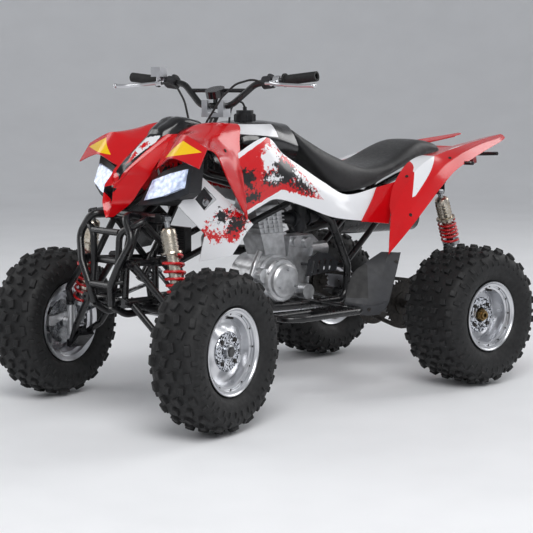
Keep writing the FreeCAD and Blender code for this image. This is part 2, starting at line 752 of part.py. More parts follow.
def swingarm():
    """The swingarm with its pivot bolt, the axle's carrier and the shock absorber's bracket."""
    pivot, y, z = swing_pivot, rear_axle_y, rear_axle_z
    bolt = rod((-103.8, pivot.y, pivot.z), (103.8, pivot.y, pivot.z), 9)
    barrel = rod((-56, pivot.y, pivot.z), (56, pivot.y, pivot.z), 22)
    carrier = rod((-carrier_width / 2, y, z), (carrier_width / 2, y, z), carrier_radius)
    legs = [loft("Y", [(pivot.y + 4, [(s * 28, pivot.z - 20), (s * 56, pivot.z - 20),
                                      (s * 56, pivot.z + 20), (s * 28, pivot.z + 20)]),
                       (y - 20, [(s * 28, z - 26), (s * 56, z - 26), (s * 56, z + 26), (s * 28, z + 26)])])
            for s in (1, -1)]
    foot = rear_shock_foot
    brackets = [rod((s * 36, y + 36, z + 24), (foot.x - 3, foot.y - 22, foot.z - 26), 12) for s in (1, -1)]
    fork = clevis(foot, (foot.x, foot.y, foot.z - 40), shock_eye_length / 2)
    floor = Part.makeBox(36, 36, 14, V(foot.x - 18, foot.y - 18, foot.z - 48))
    solid = fuse([bolt, barrel, carrier] + legs + brackets + fork + [floor])
    return solid.cut(rod((-200, y, z), (200, y, z), axle_radius + running_gap))


def pitch_radius(teeth):
    return chain_pitch / 2 / math.sin(math.pi / teeth)


def chain_ends(offset):
    """Where the chain's line, moved outwards by an offset, leaves each sprocket: (centre, radius, first, last)."""
    small, large = pitch_radius(drive_teeth) + offset, pitch_radius(sprocket_teeth) + offset
    rear = V(0, rear_axle_y, rear_axle_z)
    line = rear - drive_centre
    slope = math.atan2(line.z, line.y)
    lean = math.asin((large - small) / line.Length)
    up, down = slope + math.pi / 2 + lean, slope - math.pi / 2 - lean
    return (rear, large, up, down), (drive_centre, small, down, up - 2 * math.pi)


def chain_loop(offset, steps=(14, 8)):
    """The chain's line round both sprockets as corners (y, z)."""
    corners = []
    for (centre, radius, first, last), count in zip(chain_ends(offset), steps):
        for i in range(count + 1):
            angle = first + (last - first) * i / count
            corners.append((centre.y + radius * math.cos(angle), centre.z + radius * math.sin(angle)))
    return corners


def chain():
    """The roller chain: two rows of plates and the pins between them, in the gaps of the sprockets' teeth."""
    bands = []
    for x in (chain_x - 8, chain_x + 5):
        bands.append(plate("X", x, chain_loop(6.5), 3).cut(plate("X", x - 1, chain_loop(-6.5), 5)))
    spots = []
    for i in range(-8, 9, 2):
        angle = 2 * math.pi * i / sprocket_teeth
        spots.append((rear_axle_y + pitch_radius(sprocket_teeth) * math.cos(angle),
                      rear_axle_z + pitch_radius(sprocket_teeth) * math.sin(angle)))
    for i in (-5, -4, -3, -2):
        angle = 2 * math.pi * i / drive_teeth
        spots.append((drive_centre.y + pitch_radius(drive_teeth) * math.sin(angle),
                      drive_centre.z + pitch_radius(drive_teeth) * math.cos(angle)))
    (rear, large, up, down), (front, small, _, _) = chain_ends(0)
    for angle in (up, down):
        for i in range(1, 8):
            share = i / 8
            spots.append(tuple(front[k] + (rear[k] - front[k]) * share
                               + (small + (large - small) * share) * (math.cos(angle) if k == 1 else math.sin(angle))
                               for k in (1, 2)))
    pin = 4.0
    pins = [plate("X", chain_x - 6, [(y - pin, z), (y, z - pin), (y + pin, z), (y, z + pin)], 12) for y, z in spots]
    return fuse(bands + pins)


def drive_sprocket():
    """The engine's output sprocket and the end of its shaft."""
    wheel = toothed_wheel(drive_teeth)
    wheel.translate(V(chain_x - 3, drive_centre.y, drive_centre.z))
    shaft = rod((55, drive_centre.y, drive_centre.z), (chain_x + 12, drive_centre.y, drive_centre.z), 11)
    return fuse([wheel, shaft])


# Engine

@functools.cache
def engine_cases():
    """The crankcase and gearbox with their side covers, starter and oil pipe: closed inside."""
    crank, box = V(0, -38, 402), V(0, 150, 396)
    main = Part.makeCylinder(86, 150, V(-75, crank.y, crank.z), X_AXIS)
    gear = Part.makeCylinder(66, 110, V(-70, box.y, box.z), X_AXIS)
    bridge = plate("X", -70, [(-40, 326), (150, 332), (160, 460), (-40, 488)], 120)
    output = Part.makeCylinder(38, 125, V(-70, drive_centre.y, drive_centre.z), X_AXIS)
    deck = plate("X", -56, [(-70, 440), (46, 440), (46, 470), (-76, 470)], 112)
    hump = plate("X", -40, [(44, 452), (226, 452), (232, 492), (168, 546), (58, 546)], 84)
    left_cover = turned([(70, 0.01), (70, 78), (108, 78), (116, 72), (118, 62), (130, 60), (137, 52),
                         (137, 0.01)], crank)
    right_cover = turned([(-70, 0.01), (-70, 82), (-112, 82), (-120, 74), (-122, 50), (-132, 46),
                          (-132, 0.01)], V(0, 16, 404))
    filter_cap = rod((60, -111, 422), (104, -111, 422), 26)
    shift_boss = rod((48, 108, 346), (90, 108, 346), 27)
    caps = [rod((40, 77, 524), (62, 77, 524), 17), rod((40, 132, 520), (64, 132, 520), 20)]
    starter = rod((40, 150, 492), (40, 228, 492), 27)
    pipe = tube([(50, -92, 500), (64, -126, 462), (66, -152, 400), (56, -120, 356)], 11)
    bolts = [rod((100, crank.y + 71 * math.cos(a), crank.z + 71 * math.sin(a)),
                 (114, crank.y + 71 * math.cos(a), crank.z + 71 * math.sin(a)), 5)
             for a in [math.radians(30 + 60 * i) for i in range(6)]]
    return fuse([main, gear, bridge, output, deck, hump, left_cover, right_cover, filter_cap, shift_boss,
                 starter, pipe] + caps + bolts)


def engine_level(z, grow=0.0):
    """A level cut through the cylinder, which leans forwards and widens towards its head."""
    centre, deep, wide = -9 - (z - 456) * 0.25, 45 + (z - 456) * 0.075 + grow, 50 + (z - 456) * 0.04 + grow
    return (z, [(-wide, centre - deep), (wide, centre - deep), (wide, centre + deep), (-wide, centre + deep)])


@functools.cache
def engine_cylinder():
    """The cylinder with its joints, cooling fins, ribbed head and rocker cover."""
    pieces = [loft("Z", [engine_level(458), engine_level(664)]),
              loft("Z", [engine_level(556, 7), engine_level(564, 7)]),
              loft("Z", [engine_level(636, 7), engine_level(644, 7)]),
              loft("Z", [engine_level(662, -4), engine_level(692, -12)])]
    pieces += [loft("Z", [engine_level(z, 6), engine_level(z + 4, 6)]) for z in (580, 594, 608, 622)]
    for shift in (-34, -12, 12, 34):
        ridge = []
        for z, wide in ((566, 60), (636, 64)):
            middle = -9 - (z - 456) * 0.25 + shift
            ridge.append((z, [(-wide, middle - 4), (wide, middle - 4), (wide, middle + 4), (-wide, middle + 4)]))
        pieces.append(loft("Z", ridge))
    return trim(fuse(pieces), engine_cases())


def intake():
    """The carburettor, its rubber boots and the air box under the seat."""
    throat = (30, 114, 609)
    pieces = [tube([(10, -8, 616), (18, 40, 612), (30, 84, 609)], 21, 60), rod((30, 76, 609), (30, 84, 609), 31),
              rod((30, 84, 609), (30, 150, 609), 25), rod((30, 144, 609), (30, 152, 609), 31),
              tube([(30, 148, 609), (22, 190, 612), (10, 222, 620)], 24, 60),
              boss(throat, Z_AXIS, 27, 84), boss((30, 114, 653), Z_AXIS, 31, 8), boss((30, 114, 565), Z_AXIS, 22, 10),
              Part.makeBox(132, 190, 80, V(-66, 210, 592))]
    return trim(fuse(pieces), engine_cylinder(), engine_cases())


def exhaust():
    """The header pipe round the right side and the silencer."""
    pipe = tube([(-16, -88, 602), (-16, -190, 594), (-70, -236, 560), (-150, -170, 500), (-158, 60, 480),
                 (-158, 330, 548), (-150, 480, 566)], 19, 60)
    can = rod((-150, 470, 564), (-150, 890, 556), 52)
    tip = rod((-150, 880, 556), (-150, 906, 556), 24)
    hanger = meet((-150, 640, 600), (-84, 640, 772), 8, rear_subframe())
    solid = trim(fuse([pipe, can, tip, hanger]), engine_cylinder())
    return solid.cut(rod((-150, 860, 556), (-150, 920, 556), 19))


def oil_cooler():
    """The oil cooler behind the front box: a core between two tanks, with its fins in front."""
    y, low, tall = front_axle_y + 175, 506, 104
    core = Part.makeBox(140, 18, tall, V(-70, y, low))
    fins = [Part.makeBox(138, 6, 2.4, V(-69, y - 6, low + 4 + i * 8)) for i in range(13)]
    welded = frame()
    ends = []
    for s in (1, -1):
        ends.append(Part.makeBox(10, 26, tall, V(s * 74 - 5, y - 6, low)))
        ends.append(meet((s * 74, y + 10, low + 16), (s * 112, y + 10, low + 16), 5, welded))
    return fuse([core] + ends + fins)


# Bodywork

@functools.cache
def fuel_tank():
    """The tank and its cover: closed, as nothing of its inside shows."""
    def ring(half, top, shoulder, floor):
        left = [(half * 0.62, floor), (half, shoulder - 40), (half * 0.96, shoulder), (half * 0.6, top - 6),
                (0, top)]
        return left + [(-x, z) for x, z in reversed(left[:-1])]
    solid = loft("Y", [(-226, ring(112, 938, 908, 842)), (-170, ring(150, 958, 916, 790)),
                       (-90, ring(152, 962, 914, 770)), (5.7, ring(140, 950, 890, 770))])
    return solid


def fuel_cap():
    """The ribbed cap and its vent hose, which loops back to the tank's top."""
    pieces = [rod((0, -116, 950), (0, -116, 984), 36), rod((0, -116, 984), (0, -116, 996), 30),
              rod((0, -116, 996), (0, -116, 1008), 7)]
    for i in range(12):
        angle = 2 * math.pi * i / 12
        pieces.append(boss((36 * math.cos(angle), -116 + 36 * math.sin(angle), 968), Z_AXIS, 3, 26))
    pieces.append(tube([(0, -116, 1006), (2, -128, 1024), (5, -158, 1028), (6, -184, 1004), (4, -190, 965),
                        (2, -190, 930)], cable_radius, 40))
    return trim(fuse(pieces), fuel_tank())


@functools.cache
def seat():
    """The seat's outer form, plain here."""
    stations = [(6, 120, 952, 900), (90, 138, 902, 812), (210, 152, 838, 704), (350, 156, 794, 708),
                (480, 150, 806, 748), (600, 136, 856, 786), (680, 122, 880, 806), (770, 112, 866, 826),
                (808, 100, 852, 806)]
    sections = []
    for y, half, top, floor in stations:
        side = [(half - 14, floor), (half, floor + 12), (half - 6, top - 30), (half - 34, top - 8), (0, top)]
        sections.append((y, side + [(-x, z) for x, z in reversed(side[:-1])]))
    return loft("Y", sections)


@functools.cache
def nose_cowl():
    """The mask between the headlights: an outer V, a vent, and an inner V that frames the hood."""
    lines = [(656, (12, -690), (7, -708), (4, -711), (2, -712), (0, -713)),
             (700, (46, -645), (26, -706), (18, -690), (9, -674), (0, -668)),
             (744, (54, -612), (25, -700), (17, -676), (8, -656), (0, -650)),
             (762, (57, -598), (27, -694), (20, -668), (11, -664), (0, -676)),
             (788, (60, -576), (33, -666), (28, -650), (21, -664), (0, -642)),
             (815, (62, -560), (41, -640), (36, -628), (29, -642), (0, -612)),
             (870, (66, -510), (53, -562), (48, -556), (42, -568), (0, -556)),
             (922, (70, -440), (61, -478), (57, -478), (51, -488), (0, -500))]
    sections = []
    for z, *half in lines:
        sections.append((z, sheet_outline(symmetric(half), plastic)))
    return with_front(loft("Z", sections))


@functools.cache
def front_fenders():
    """The wings over the front wheels."""
    lines = [(56, [(-556, 802), (-500, 896), (-440, 932), (-390, 942), (-345, 944)]),
             (130, [(-590, 824), (-530, 906), (-440, 950), (-340, 957), (-252, 950)]),
             (190, [(-600, 850), (-540, 925), (-440, 932), (-360, 916), (-300, 874)]),
             (245, [(-596, 846), (-545, 913), (-450, 892), (-360, 800), (-313, 655)]),
             (330, [(-588, 818), (-548, 886), (-500, 850), (-470, 800), (-453, 757)])]
    return both(trim(with_front(panel("X", lines)), nose_cowl(), fuel_tank()))


@functools.cache
def headlights():
    """The black headlight housings, each with a pocket for its lens."""
    sections = [(68, [(-632, 694), (-578, 772), (-540, 770), (-556, 690)]),
                (130, [(-618, 700), (-574, 806), (-520, 800), (-530, 690)]),
                (200, [(-592, 714), (-560, 828), (-505, 836), (-515, 712)]),
                (258, [(-572, 740), (-548, 848), (-506, 850), (-520, 740)])]
    return both(trim(with_front(loft("X", sections)), lens_solid(), nose_cowl(), front_fenders(), frame()))


def lens_solid():
    sections = [(96, [(-628, 712), (-592, 776), (-566, 776), (-590, 712)]),
                (170, [(-612, 728), (-578, 800), (-550, 800), (-566, 728)]),
                (240, [(-590, 756), (-566, 816), (-540, 816), (-552, 756)])]
    return with_front(loft("X", sections))


def headlight_lenses():
    return both(lens_solid())


def instrument_pod():
    """The black hood in front of the steering column."""
    def ring(half, top, floor):
        left = [(half, floor), (half * 0.8, top - 12), (half * 0.4, top)]
        return left + [(-x, z) for x, z in reversed(left)]
    hood = loft("Y", [(-520, ring(40, 912, 885)), (-470, ring(62, 960, 905)), (-430, ring(66, 978, 915)),
                      (-350, ring(64, 965, 925))])
    return trim(with_front(hood), nose_cowl(), front_fenders())


@functools.cache
def front_shrouds():
    """The white side shrouds with their diamond-shaped window."""
    outline = [(-572, 696), (-486, 792), (-330, 668), (-276, 622), (-300, 600), (-364, 522), (-492, 512),
               (-470, 600)]
    sheet = plate("X", 214, outline, plastic)
    window = plate("X", 200, [(-471, 756), (-424, 712), (-471, 676), (-508, 716)], 40)
    sheet = sheet.cut(window)
    sheet.rotate(V(214, -430, 0), Z_AXIS, -5)
    return both(trim(with_front(sheet), headlights(), front_fenders()))


def panel_stays():
    """The bent-over stays that carry the front fenders and the side panels."""
    wings, sides = front_fenders(), side_panels()
    left = [meet((50, -330, 788), (118, -392, 990), 6, wings), meet((62, -200, 755), (240, -200, 755), 6, sides),
            meet((116, 190, 606), (240, 190, 640), 6, sides)]
    left = [trim(stay, frame()) for stay in left]
    return Part.makeCompound(left + [mirror(stay) for stay in left])


@functools.cache
def side_panels():
    """The side panels from the tank to the rear fenders."""
    lines = [(-345, [(204, 640), (214, 760), (200, 860)]), (-176, [(200, 670), (206, 800), (176, 912)]),
             (-11, [(196, 640), (196, 740), (168, 830)]), (223, [(196, 590), (186, 650), (166, 720)]),
             (365, [(200, 590), (192, 660), (176, 740)])]
    sheet = panel("Y", lines)
    outline = [(-340, 848), (-178, 908), (-92, 850), (-11, 806), (110, 742), (223, 694), (356, 716), (268, 600),
               (120, 622), (-20, 668), (-144, 698), (-210, 682), (-296, 646)]
    cutter = plate("X", 150, outline, 80)
    return both(trim(sheet.common(cutter), front_fenders(), front_shrouds()))


@functools.cache
def rear_fenders():
    """The rear fenders, which run up into the two tail tips."""
    lines = [(296, [(330, 498), (300, 524), (232, 600), (204, 640)]),
             (365, [(332, 546), (292, 600), (232, 684), (186, 716)]),
             (528, [(308, 680), (278, 744), (222, 792), (166, 790)]),
             (660, [(302, 766), (266, 814), (206, 830), (146, 822)]),
             (800, [(276, 806), (242, 838), (182, 850), (128, 846)]),
             (950, [(226, 834), (196, 858), (150, 868), (90, 862)]),
             (1071, [(162, 862), (150, 876), (120, 884), (88, 880)]),
             (1134, [(134, 876), (124, 886), (112, 891), (98, 889)])]
    wing = panel("Y", lines)
    deck = loft("Y", [(822, [(-140, 809.2), (140, 809.2), (140, 813.2), (-140, 813.2)]),
                      (940, [(-110, 824.2), (110, 824.2), (110, 828.2), (-110, 828.2)])])
    return Part.makeCompound([wing, mirror(wing), trim(deck, wing, mirror(wing))])


def tail_lamp():
    """The tail lamp on its bracket."""
    lamp = loft("Y", [(1052, [(-40, 770), (40, 770), (36, 806), (-36, 806)]),
                      (1082, [(-34, 776), (34, 776), (30, 800), (-30, 800)])])
    bracket = Part.makeBox(50, 30, 56, V(-25, 1022, 772))
    return trim(fuse([lamp, bracket]), rear_subframe())


def heel_guards():
    """The guards between the footrests and the rear wheels."""
    lines = [(290, [(292, 100), (392, 186), (402, 246)]), (416, [(252, 166), (330, 236), (346, 316)]),
             (490, [(272, 262), (318, 298), (330, 342)])]
    return both(panel("Z", lines))


def foot_bars():
    """The foot bars, each with a serrated footrest between two tubes."""
    front, rear, z = -258, 96, 312
    outer = tube([(104, front + 20, z), (360, front + 10, z), (388, front + 60, z), (388, rear - 30, z),
                  (360, rear, z), (104, rear, z)], small_tube, 40)
    inner = rod((300, front + 12, z), (300, rear, z), small_tube)
    peg = [Part.makeBox(94, 5, 18, V(295, -78 + i * 14, z - 4)) for i in range(9)]
    peg.append(Part.makeBox(90, 122, 6, V(297, -80, z - 9)))
    return both(trim(fuse([outer, inner] + peg), frame()))


def sprocket_cover():
    """The slotted guard over the engine's sprocket."""
    outline = [(92, 402), (106, 460), (150, 486), (196, 480), (250, 446), (240, 414)]
    cover = plate("X", chain_x + 13, outline, 6)
    for i in range(4):
        y = 116 + i * 28
        cover = cover.cut(plate("X", chain_x, [(y, 412), (y + 12, 412), (y + 22, 456), (y + 8, 456)], 40))
    posts = [rod((40, y, z), (chain_x + 15, y, z), 5) for y, z in ((110, 444), (200, 470))]
    return trim(fuse([cover] + posts), engine_cases())


def at_bars(point):
    """Where a point of the bar's pieces rests."""
    turn = FreeCAD.Rotation(Z_AXIS, steer_at_rest)
    return column_top + turn.multVec(V(*point) - column_top)


def control_cables():
    """The clutch and throttle cables and the brake hose, held by the levers and a guide on the column."""
    guide = column_foot + column_axis * 486
    collar = boss(guide, column_axis, 25, 12)
    pieces = [collar]
    for s in (1, -1):
        start, inward = along_bar(s, grip_length + 24)
        lever_end = start + V(-s * (adjuster_length + seat_gap), -46, -8)
        lift = 12 if s > 0 else 0
        route = [at_bars(p) for p in (lever_end, lever_end + V(-s * 44, -14, 2 + lift), (s * 122, -304, 1074 + lift),
                                      (s * 78, -322, 1030 + lift))]
        foot = guide + V(s * 19, 0, 0)
        route += [foot + V(s * 22, -26, 62), foot + V(s * 4, -6, 26), foot]
        pieces.append(tube(route, cable_radius, 60))
    held = fuse(pieces).cut(boss(guide, column_axis, column_radius + running_gap, 200))
    return trim(held, levers())


def build():
    """Every sub-part by its name."""
    parts = {
        "frame": frame(), "rear_subframe": rear_subframe(), "front_bumper": front_bumper(),
        "skid_plate": skid_plate(), "engine_cases": engine_cases(), "engine_cylinder": engine_cylinder(),
        "intake": intake(), "exhaust": exhaust(), "oil_cooler": oil_cooler(),
        "fuel_tank": fuel_tank(), "fuel_cap": fuel_cap(), "seat": seat(),
        "nose_cowl": nose_cowl(), "front_fenders": front_fenders(), "headlights": headlights(),
        "headlight_lenses": headlight_lenses(), "instrument_pod": instrument_pod(),
        "front_shrouds": front_shrouds(), "side_panels": side_panels(), "rear_fenders": rear_fenders(),
        "tail_lamp": tail_lamp(), "heel_guards": heel_guards(), "foot_bars": foot_bars(), "panel_stays": panel_stays(),
        "upper_arms": upper_arms(), "lower_arms": lower_arms(), "shock_absorbers": shock_absorbers(),
        "shock_springs": shock_springs(), "swingarm": swingarm(), "chain": chain(),
        "drive_sprocket": drive_sprocket(), "sprocket_cover": sprocket_cover(),
        "steering_column": steering_column(), "handlebar": handlebar(), "bar_clamps": bar_clamps(),
        "grips": grips(), "levers": levers(), "switch_housings": switch_housings(), "gauge": gauge(),
        "rear_axle": rear_axle(), "control_cables": control_cables(),
    }
    for word, side in (("left", 1), ("right", -1)):
        parts["knuckle_" + word] = knuckle(side)
        parts["tie_rod_" + word] = tie_rod(side)
        parts["front_hub_" + word] = front_hub(side)
        parts["front_rim_" + word] = front_rim(side)
        parts["front_tyre_" + word] = front_tyre(side)
        parts["rear_rim_" + word] = rear_rim(side)
        parts["rear_tyre_" + word] = rear_tyre(side)
    shift = V(0, frame_shift, 0)
    for shape in parts.values():
        shape.translate(shift)
    return parts


if __name__ == "__main__":
    os.makedirs("parts", exist_ok=True)
    for name, shape in build().items():
        shape.exportStep("parts/" + name + ".step")
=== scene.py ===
import math
import bmesh
import bpy
from mathutils import Matrix, Vector
from mathutils.bvhtree import BVHTree


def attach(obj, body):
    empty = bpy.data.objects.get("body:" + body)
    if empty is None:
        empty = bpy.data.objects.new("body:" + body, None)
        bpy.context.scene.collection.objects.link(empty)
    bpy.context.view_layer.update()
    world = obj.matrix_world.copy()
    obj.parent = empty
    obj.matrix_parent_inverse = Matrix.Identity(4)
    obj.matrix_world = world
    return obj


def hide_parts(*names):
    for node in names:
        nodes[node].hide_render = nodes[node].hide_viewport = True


# Sport quad bike: its looks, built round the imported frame.
# Sizes in the dictionaries are millimetres in the maker's frame, whose y is 0 midway between the axles.

mm = 0.001
frameShift = -120.4   # what the packing added to every y

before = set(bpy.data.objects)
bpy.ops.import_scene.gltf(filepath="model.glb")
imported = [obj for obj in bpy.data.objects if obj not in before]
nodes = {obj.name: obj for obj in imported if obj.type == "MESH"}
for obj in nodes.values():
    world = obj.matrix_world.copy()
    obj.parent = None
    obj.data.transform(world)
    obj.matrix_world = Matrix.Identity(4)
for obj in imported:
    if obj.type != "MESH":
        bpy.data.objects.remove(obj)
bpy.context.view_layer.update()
collection = bpy.context.scene.collection
print("frame loaded:", len(nodes), "nodes")


# Colours and nodes

def linear(hexColour):
    value = hexColour.lstrip("#")
    channels = [int(value[i:i + 2], 16) / 255 for i in (0, 2, 4)]
    return tuple(c / 12.92 if c <= 0.04045 else ((c + 0.055) / 1.055) ** 2.4 for c in channels) + (1.0,)


def add(tree, kind, settings=None, **links):
    # adds a node, a shader's unless the kind says Node, with its settings or the name of its operation; links
    # name its inputs, or number them as n0, n1, and give values or other nodes' sockets
    node = tree.nodes.new(kind if "Node" in kind else "ShaderNode" + kind)
    for key, value in ({"operation": settings} if isinstance(settings, str) else settings or {}).items():
        setattr(node, key, value)
    for key, value in links.items():
        numbered = key[0] == "n" and key[1:].isdigit()
        socket = node.inputs[int(key[1:]) if numbered else key.replace("_", " ")]
        if isinstance(value, bpy.types.NodeSocket):
            tree.links.new(value, socket)
        else:
            socket.default_value = value
    return node


def coordinates(tree):
    # object coordinates, with y moved to the maker's frame
    place = add(tree, "TexCoord").outputs["Object"]
    return add(tree, "VectorMath", "SUBTRACT", n0=place, n1=(0, frameShift * mm, 0)).outputs["Vector"]


# most of a noise's values lie in these ranges; sizes of the smears and the relief as shares of lump and grain
noiseRange, tornRange = (0.3, 0.7), (0.32, 0.68)
smearShare, reliefShare = 0.35, 0.5
coatRoughness = 0.04
inwardLimit = -0.02   # metres off the middle, times how far the face turns from it


def finish(name, dark, light, rough, texture, metallic=0.0, coat=0.0, sheen=0.0, edge=1.2, layers=()):
    # tone and gloss vary over lumps; a fine grain stands in relief; hard edges catch a soft light
    lump, grain, bump = texture
    made = bpy.data.materials.new(name)
    made.use_nodes = True
    tree = made.node_tree
    shader = tree.nodes["Principled BSDF"]
    low, high = noiseRange
    place = coordinates(tree)
    patches = add(tree, "TexNoise", Vector=place, Scale=1 / (lump * mm), Detail=3.0)
    share = add(tree, "MapRange", n0=patches.outputs["Fac"], n1=low, n2=high, n3=0.0, n4=1.0)
    colour = add(tree, "Mix", {"data_type": "RGBA"}, n0=share.outputs["Result"], n6=linear(dark),
                 n7=linear(light)).outputs[2]
    for tint, mask in layers:
        colour = add(tree, "Mix", {"data_type": "RGBA"}, n0=mask(tree, place), n6=colour,
                     n7=linear(tint)).outputs[2]
    tree.links.new(colour, shader.inputs["Base Color"])
    smears = add(tree, "TexNoise", Vector=place, Scale=1 / (lump * smearShare * mm), Detail=4.0)
    gloss = add(tree, "MapRange", n0=smears.outputs["Fac"], n1=low, n2=high, n3=rough[0], n4=rough[1])
    tree.links.new(gloss.outputs["Result"], shader.inputs["Roughness"])
    grains = add(tree, "TexNoise", Vector=place, Scale=1 / (grain * mm), Detail=2.0)
    relief = add(tree, "Bump", Strength=bump, Distance=grain * reliefShare * mm, Height=grains.outputs["Fac"])
    if edge:
        rounded = add(tree, "Bevel", {"samples": 4}, Radius=edge * mm)
        tree.links.new(rounded.outputs["Normal"], relief.inputs["Normal"])
    tree.links.new(relief.outputs["Normal"], shader.inputs["Normal"])
    for socket, value in (("Metallic", metallic), ("Coat Weight", coat), ("Coat Roughness", coatRoughness),
                          ("Sheen Weight", sheen)):
        shader.inputs[socket].default_value = value
    return made


# A layer is a colour and a mask, which says where the colour lies.

def patch(points, colour, axes="yz", ragged=0.0, grain=14.0, mirrored=False):
    # a painted area: a convex outline, walked anticlockwise, whose edge may be torn over so many millimetres
    def mask(tree, place):
        first, second = ["xyz".index(axis) for axis in axes]
        if mirrored:
            size = add(tree, "VectorMath", "ABSOLUTE", n0=place).outputs["Vector"]
            rest = add(tree, "VectorMath", "MULTIPLY", n0=place, n1=(0, 1, 1))
            place = add(tree, "VectorMath", "MULTIPLY_ADD", n0=size, n1=(1, 0, 0),
                        n2=rest.outputs["Vector"]).outputs["Vector"]
        nearest = None
        for (u0, v0), (u1, v1) in zip(points, points[1:] + points[:1]):
            length = math.hypot(u1 - u0, v1 - v0)
            normal = [0.0, 0.0, 0.0]
            normal[first], normal[second] = (v0 - v1) / length, (u1 - u0) / length
            along = add(tree, "VectorMath", "DOT_PRODUCT", n0=place, n1=tuple(normal))
            inside = add(tree, "Math", "SUBTRACT", n0=along.outputs["Value"],
                         n1=(normal[first] * u0 + normal[second] * v0) * mm).outputs[0]
            if nearest is not None:
                inside = add(tree, "Math", "MINIMUM", n0=nearest, n1=inside).outputs[0]
            nearest = inside
        if ragged:
            torn = add(tree, "TexNoise", Vector=place, Scale=1 / (grain * mm), Detail=6.0, Roughness=0.72)
            jag = add(tree, "MapRange", n0=torn.outputs["Fac"], n1=tornRange[0], n2=tornRange[1],
                      n3=-ragged * mm, n4=ragged * mm)
            nearest = add(tree, "Math", "ADD", n0=nearest, n1=jag.outputs["Result"]).outputs[0]
        return add(tree, "Math", "GREATER_THAN", n0=nearest, n1=0.0).outputs[0]
    return colour, mask


def fleck(colour, size, limit):
    # spots where a noise passes a limit
    def mask(tree, place):
        spots = add(tree, "TexNoise", Vector=place, Scale=1 / (size * mm), Detail=4.0, Roughness=0.65)
        return add(tree, "Math", "GREATER_THAN", n0=spots.outputs["Fac"], n1=limit).outputs[0]
    return colour, mask


def innerFaces(colour):
    # the faces turned towards the middle of the bike
    def mask(tree, place):
        facing = add(tree, "NewGeometry").outputs["Normal"]
        across = add(tree, "VectorMath", "MULTIPLY", n0=facing, n1=place).outputs[0]
        inward = add(tree, "SeparateXYZ", Vector=across).outputs[0]
        return add(tree, "Math", "LESS_THAN", n0=inward, n1=inwardLimit).outputs[0]
    return colour, mask


# Painted areas: corners as y and z, or as x and z where the axes say so

# the near black serves as print ink and, on the heel guards, as painted shade
red, white, inkAndShade, sun = "#C8050F", "#E4E5E8", "#0C0C0E", "#F2C200"
sideArt = [
    patch([(-400, 560), (420, 560), (420, 990), (-400, 990)], white),
    patch([(-282, 668), (-122, 730), (-158, 912), (-350, 826)], red, ragged=2, grain=30),
    patch([(-124, 730), (120, 672), (-33, 796), (-160, 912)], red, ragged=9, grain=20),
    patch([(-205, 800), (-150, 790), (-110, 850), (-165, 892), (-215, 850)], white, ragged=26, grain=16),
    patch([(-150, 765), (-70, 745), (-40, 790), (-120, 840), (-158, 815)], inkAndShade, ragged=24, grain=22),
    patch([(-330, 748), (-262, 730), (-252, 800), (-318, 802)], inkAndShade, ragged=26, grain=16),
    patch([(-215, 752), (-140, 742), (-105, 772), (-165, 792), (-215, 785)], inkAndShade, ragged=24, grain=14),
    patch([(-200, 768), (-150, 756), (-128, 772), (-170, 784)], white, ragged=16, grain=8),
    patch([(-60, 760), (40, 705), (95, 686), (20, 745), (-50, 800)], white, ragged=24, grain=10),
    patch([(-80, 740), (20, 705), (40, 715), (-40, 770)], inkAndShade, ragged=24, grain=8),
    patch([(-300, 690), (-235, 700), (-215, 728), (-290, 722)], inkAndShade, ragged=16, grain=10),
    patch([(-340, 560), (-200, 560), (-140, 700), (-145, 718), (-276, 652), (-340, 640)], white),
    patch([(-200, 560), (420, 560), (330, 612), (150, 674), (-145, 718)], white),
]
shroudArt = [
    patch([(-500, 596), (-400, 575), (-335, 580), (-295, 655), (-380, 680), (-440, 650)], red, ragged=30,
          grain=24),
    patch([(-455, 610), (-400, 600), (-360, 640), (-400, 665), (-450, 650)], white, ragged=28, grain=10),
    patch([(-380, 600), (-320, 610), (-310, 650), (-370, 650)], inkAndShade, ragged=26, grain=12),
    patch([(-435, 640), (-390, 640), (-370, 672), (-420, 675)], inkAndShade, ragged=22, grain=14),
    innerFaces(inkAndShade),
]
fenderArtAndHighlight = [
    # a printed white stripe, then a white strip of painted highlight along the top of the blade
    patch([(441, 680), (455, 684), (640, 822), (632, 838), (604, 838), (500, 770)], white),
    # painted highlight: this white strip along the top of the blade stands in for a highlight there
    patch([(704, 833), (860, 858), (852, 892), (700, 850)], white),
]
hoodArt = [
    patch([(2, 674), (9, 690), (20, 722), (31, 748), (20, 757), (2, 753)], inkAndShade, "xz", mirrored=True),
    patch([(-1, 772), (22, 802), (35, 860), (46, 930), (-1, 930)], inkAndShade, "xz", mirrored=True),
    patch([(2, 832), (22, 852), (40, 896), (36, 920), (-4, 908), (-10, 862)], white, "xz", ragged=3, grain=14),
    patch([(-4, 826), (10, 832), (18, 858), (-2, 872)], red, "xz", ragged=7, grain=8),
    patch([(4, 880), (22, 874), (26, 892), (8, 900)], red, "xz", ragged=7, grain=7),
]
wingArt = [
    patch([(150, 850), (310, 872), (212, 906)], sun, "xz", mirrored=True),
    patch([(-500, 560), (-200, 560), (-200, 990), (-500, 990)], red),
]
tankArt = [patch([(-238, 919), (-95, 906), (-88, 950), (-240, 950)], white)]
# painted shade: the heel guard's recess is painted near black for the shade that falls in it
guardRecessShade = [patch([(92, 346), (158, 344), (206, 452), (190, 470), (120, 430)], inkAndShade)]


# Finishes: dark and light tone, roughness from and to, then a texture: the size of its lumps and of its grain
# in millimetres, and the share of the grain's relief that shows

# injection moulded ABS: almost smooth, a faint orange peel and a wide clean highlight
mouldedRed = {"dark": "#BE040D", "light": "#CF0812", "rough": (0.14, 0.24), "texture": (180, 3, 0.03),
              "coat": 0.25}
mouldedBlack = {"dark": "#0A0A0C", "light": "#111114", "rough": (0.14, 0.24), "texture": (120, 3, 0.03),
                "coat": 0.4}
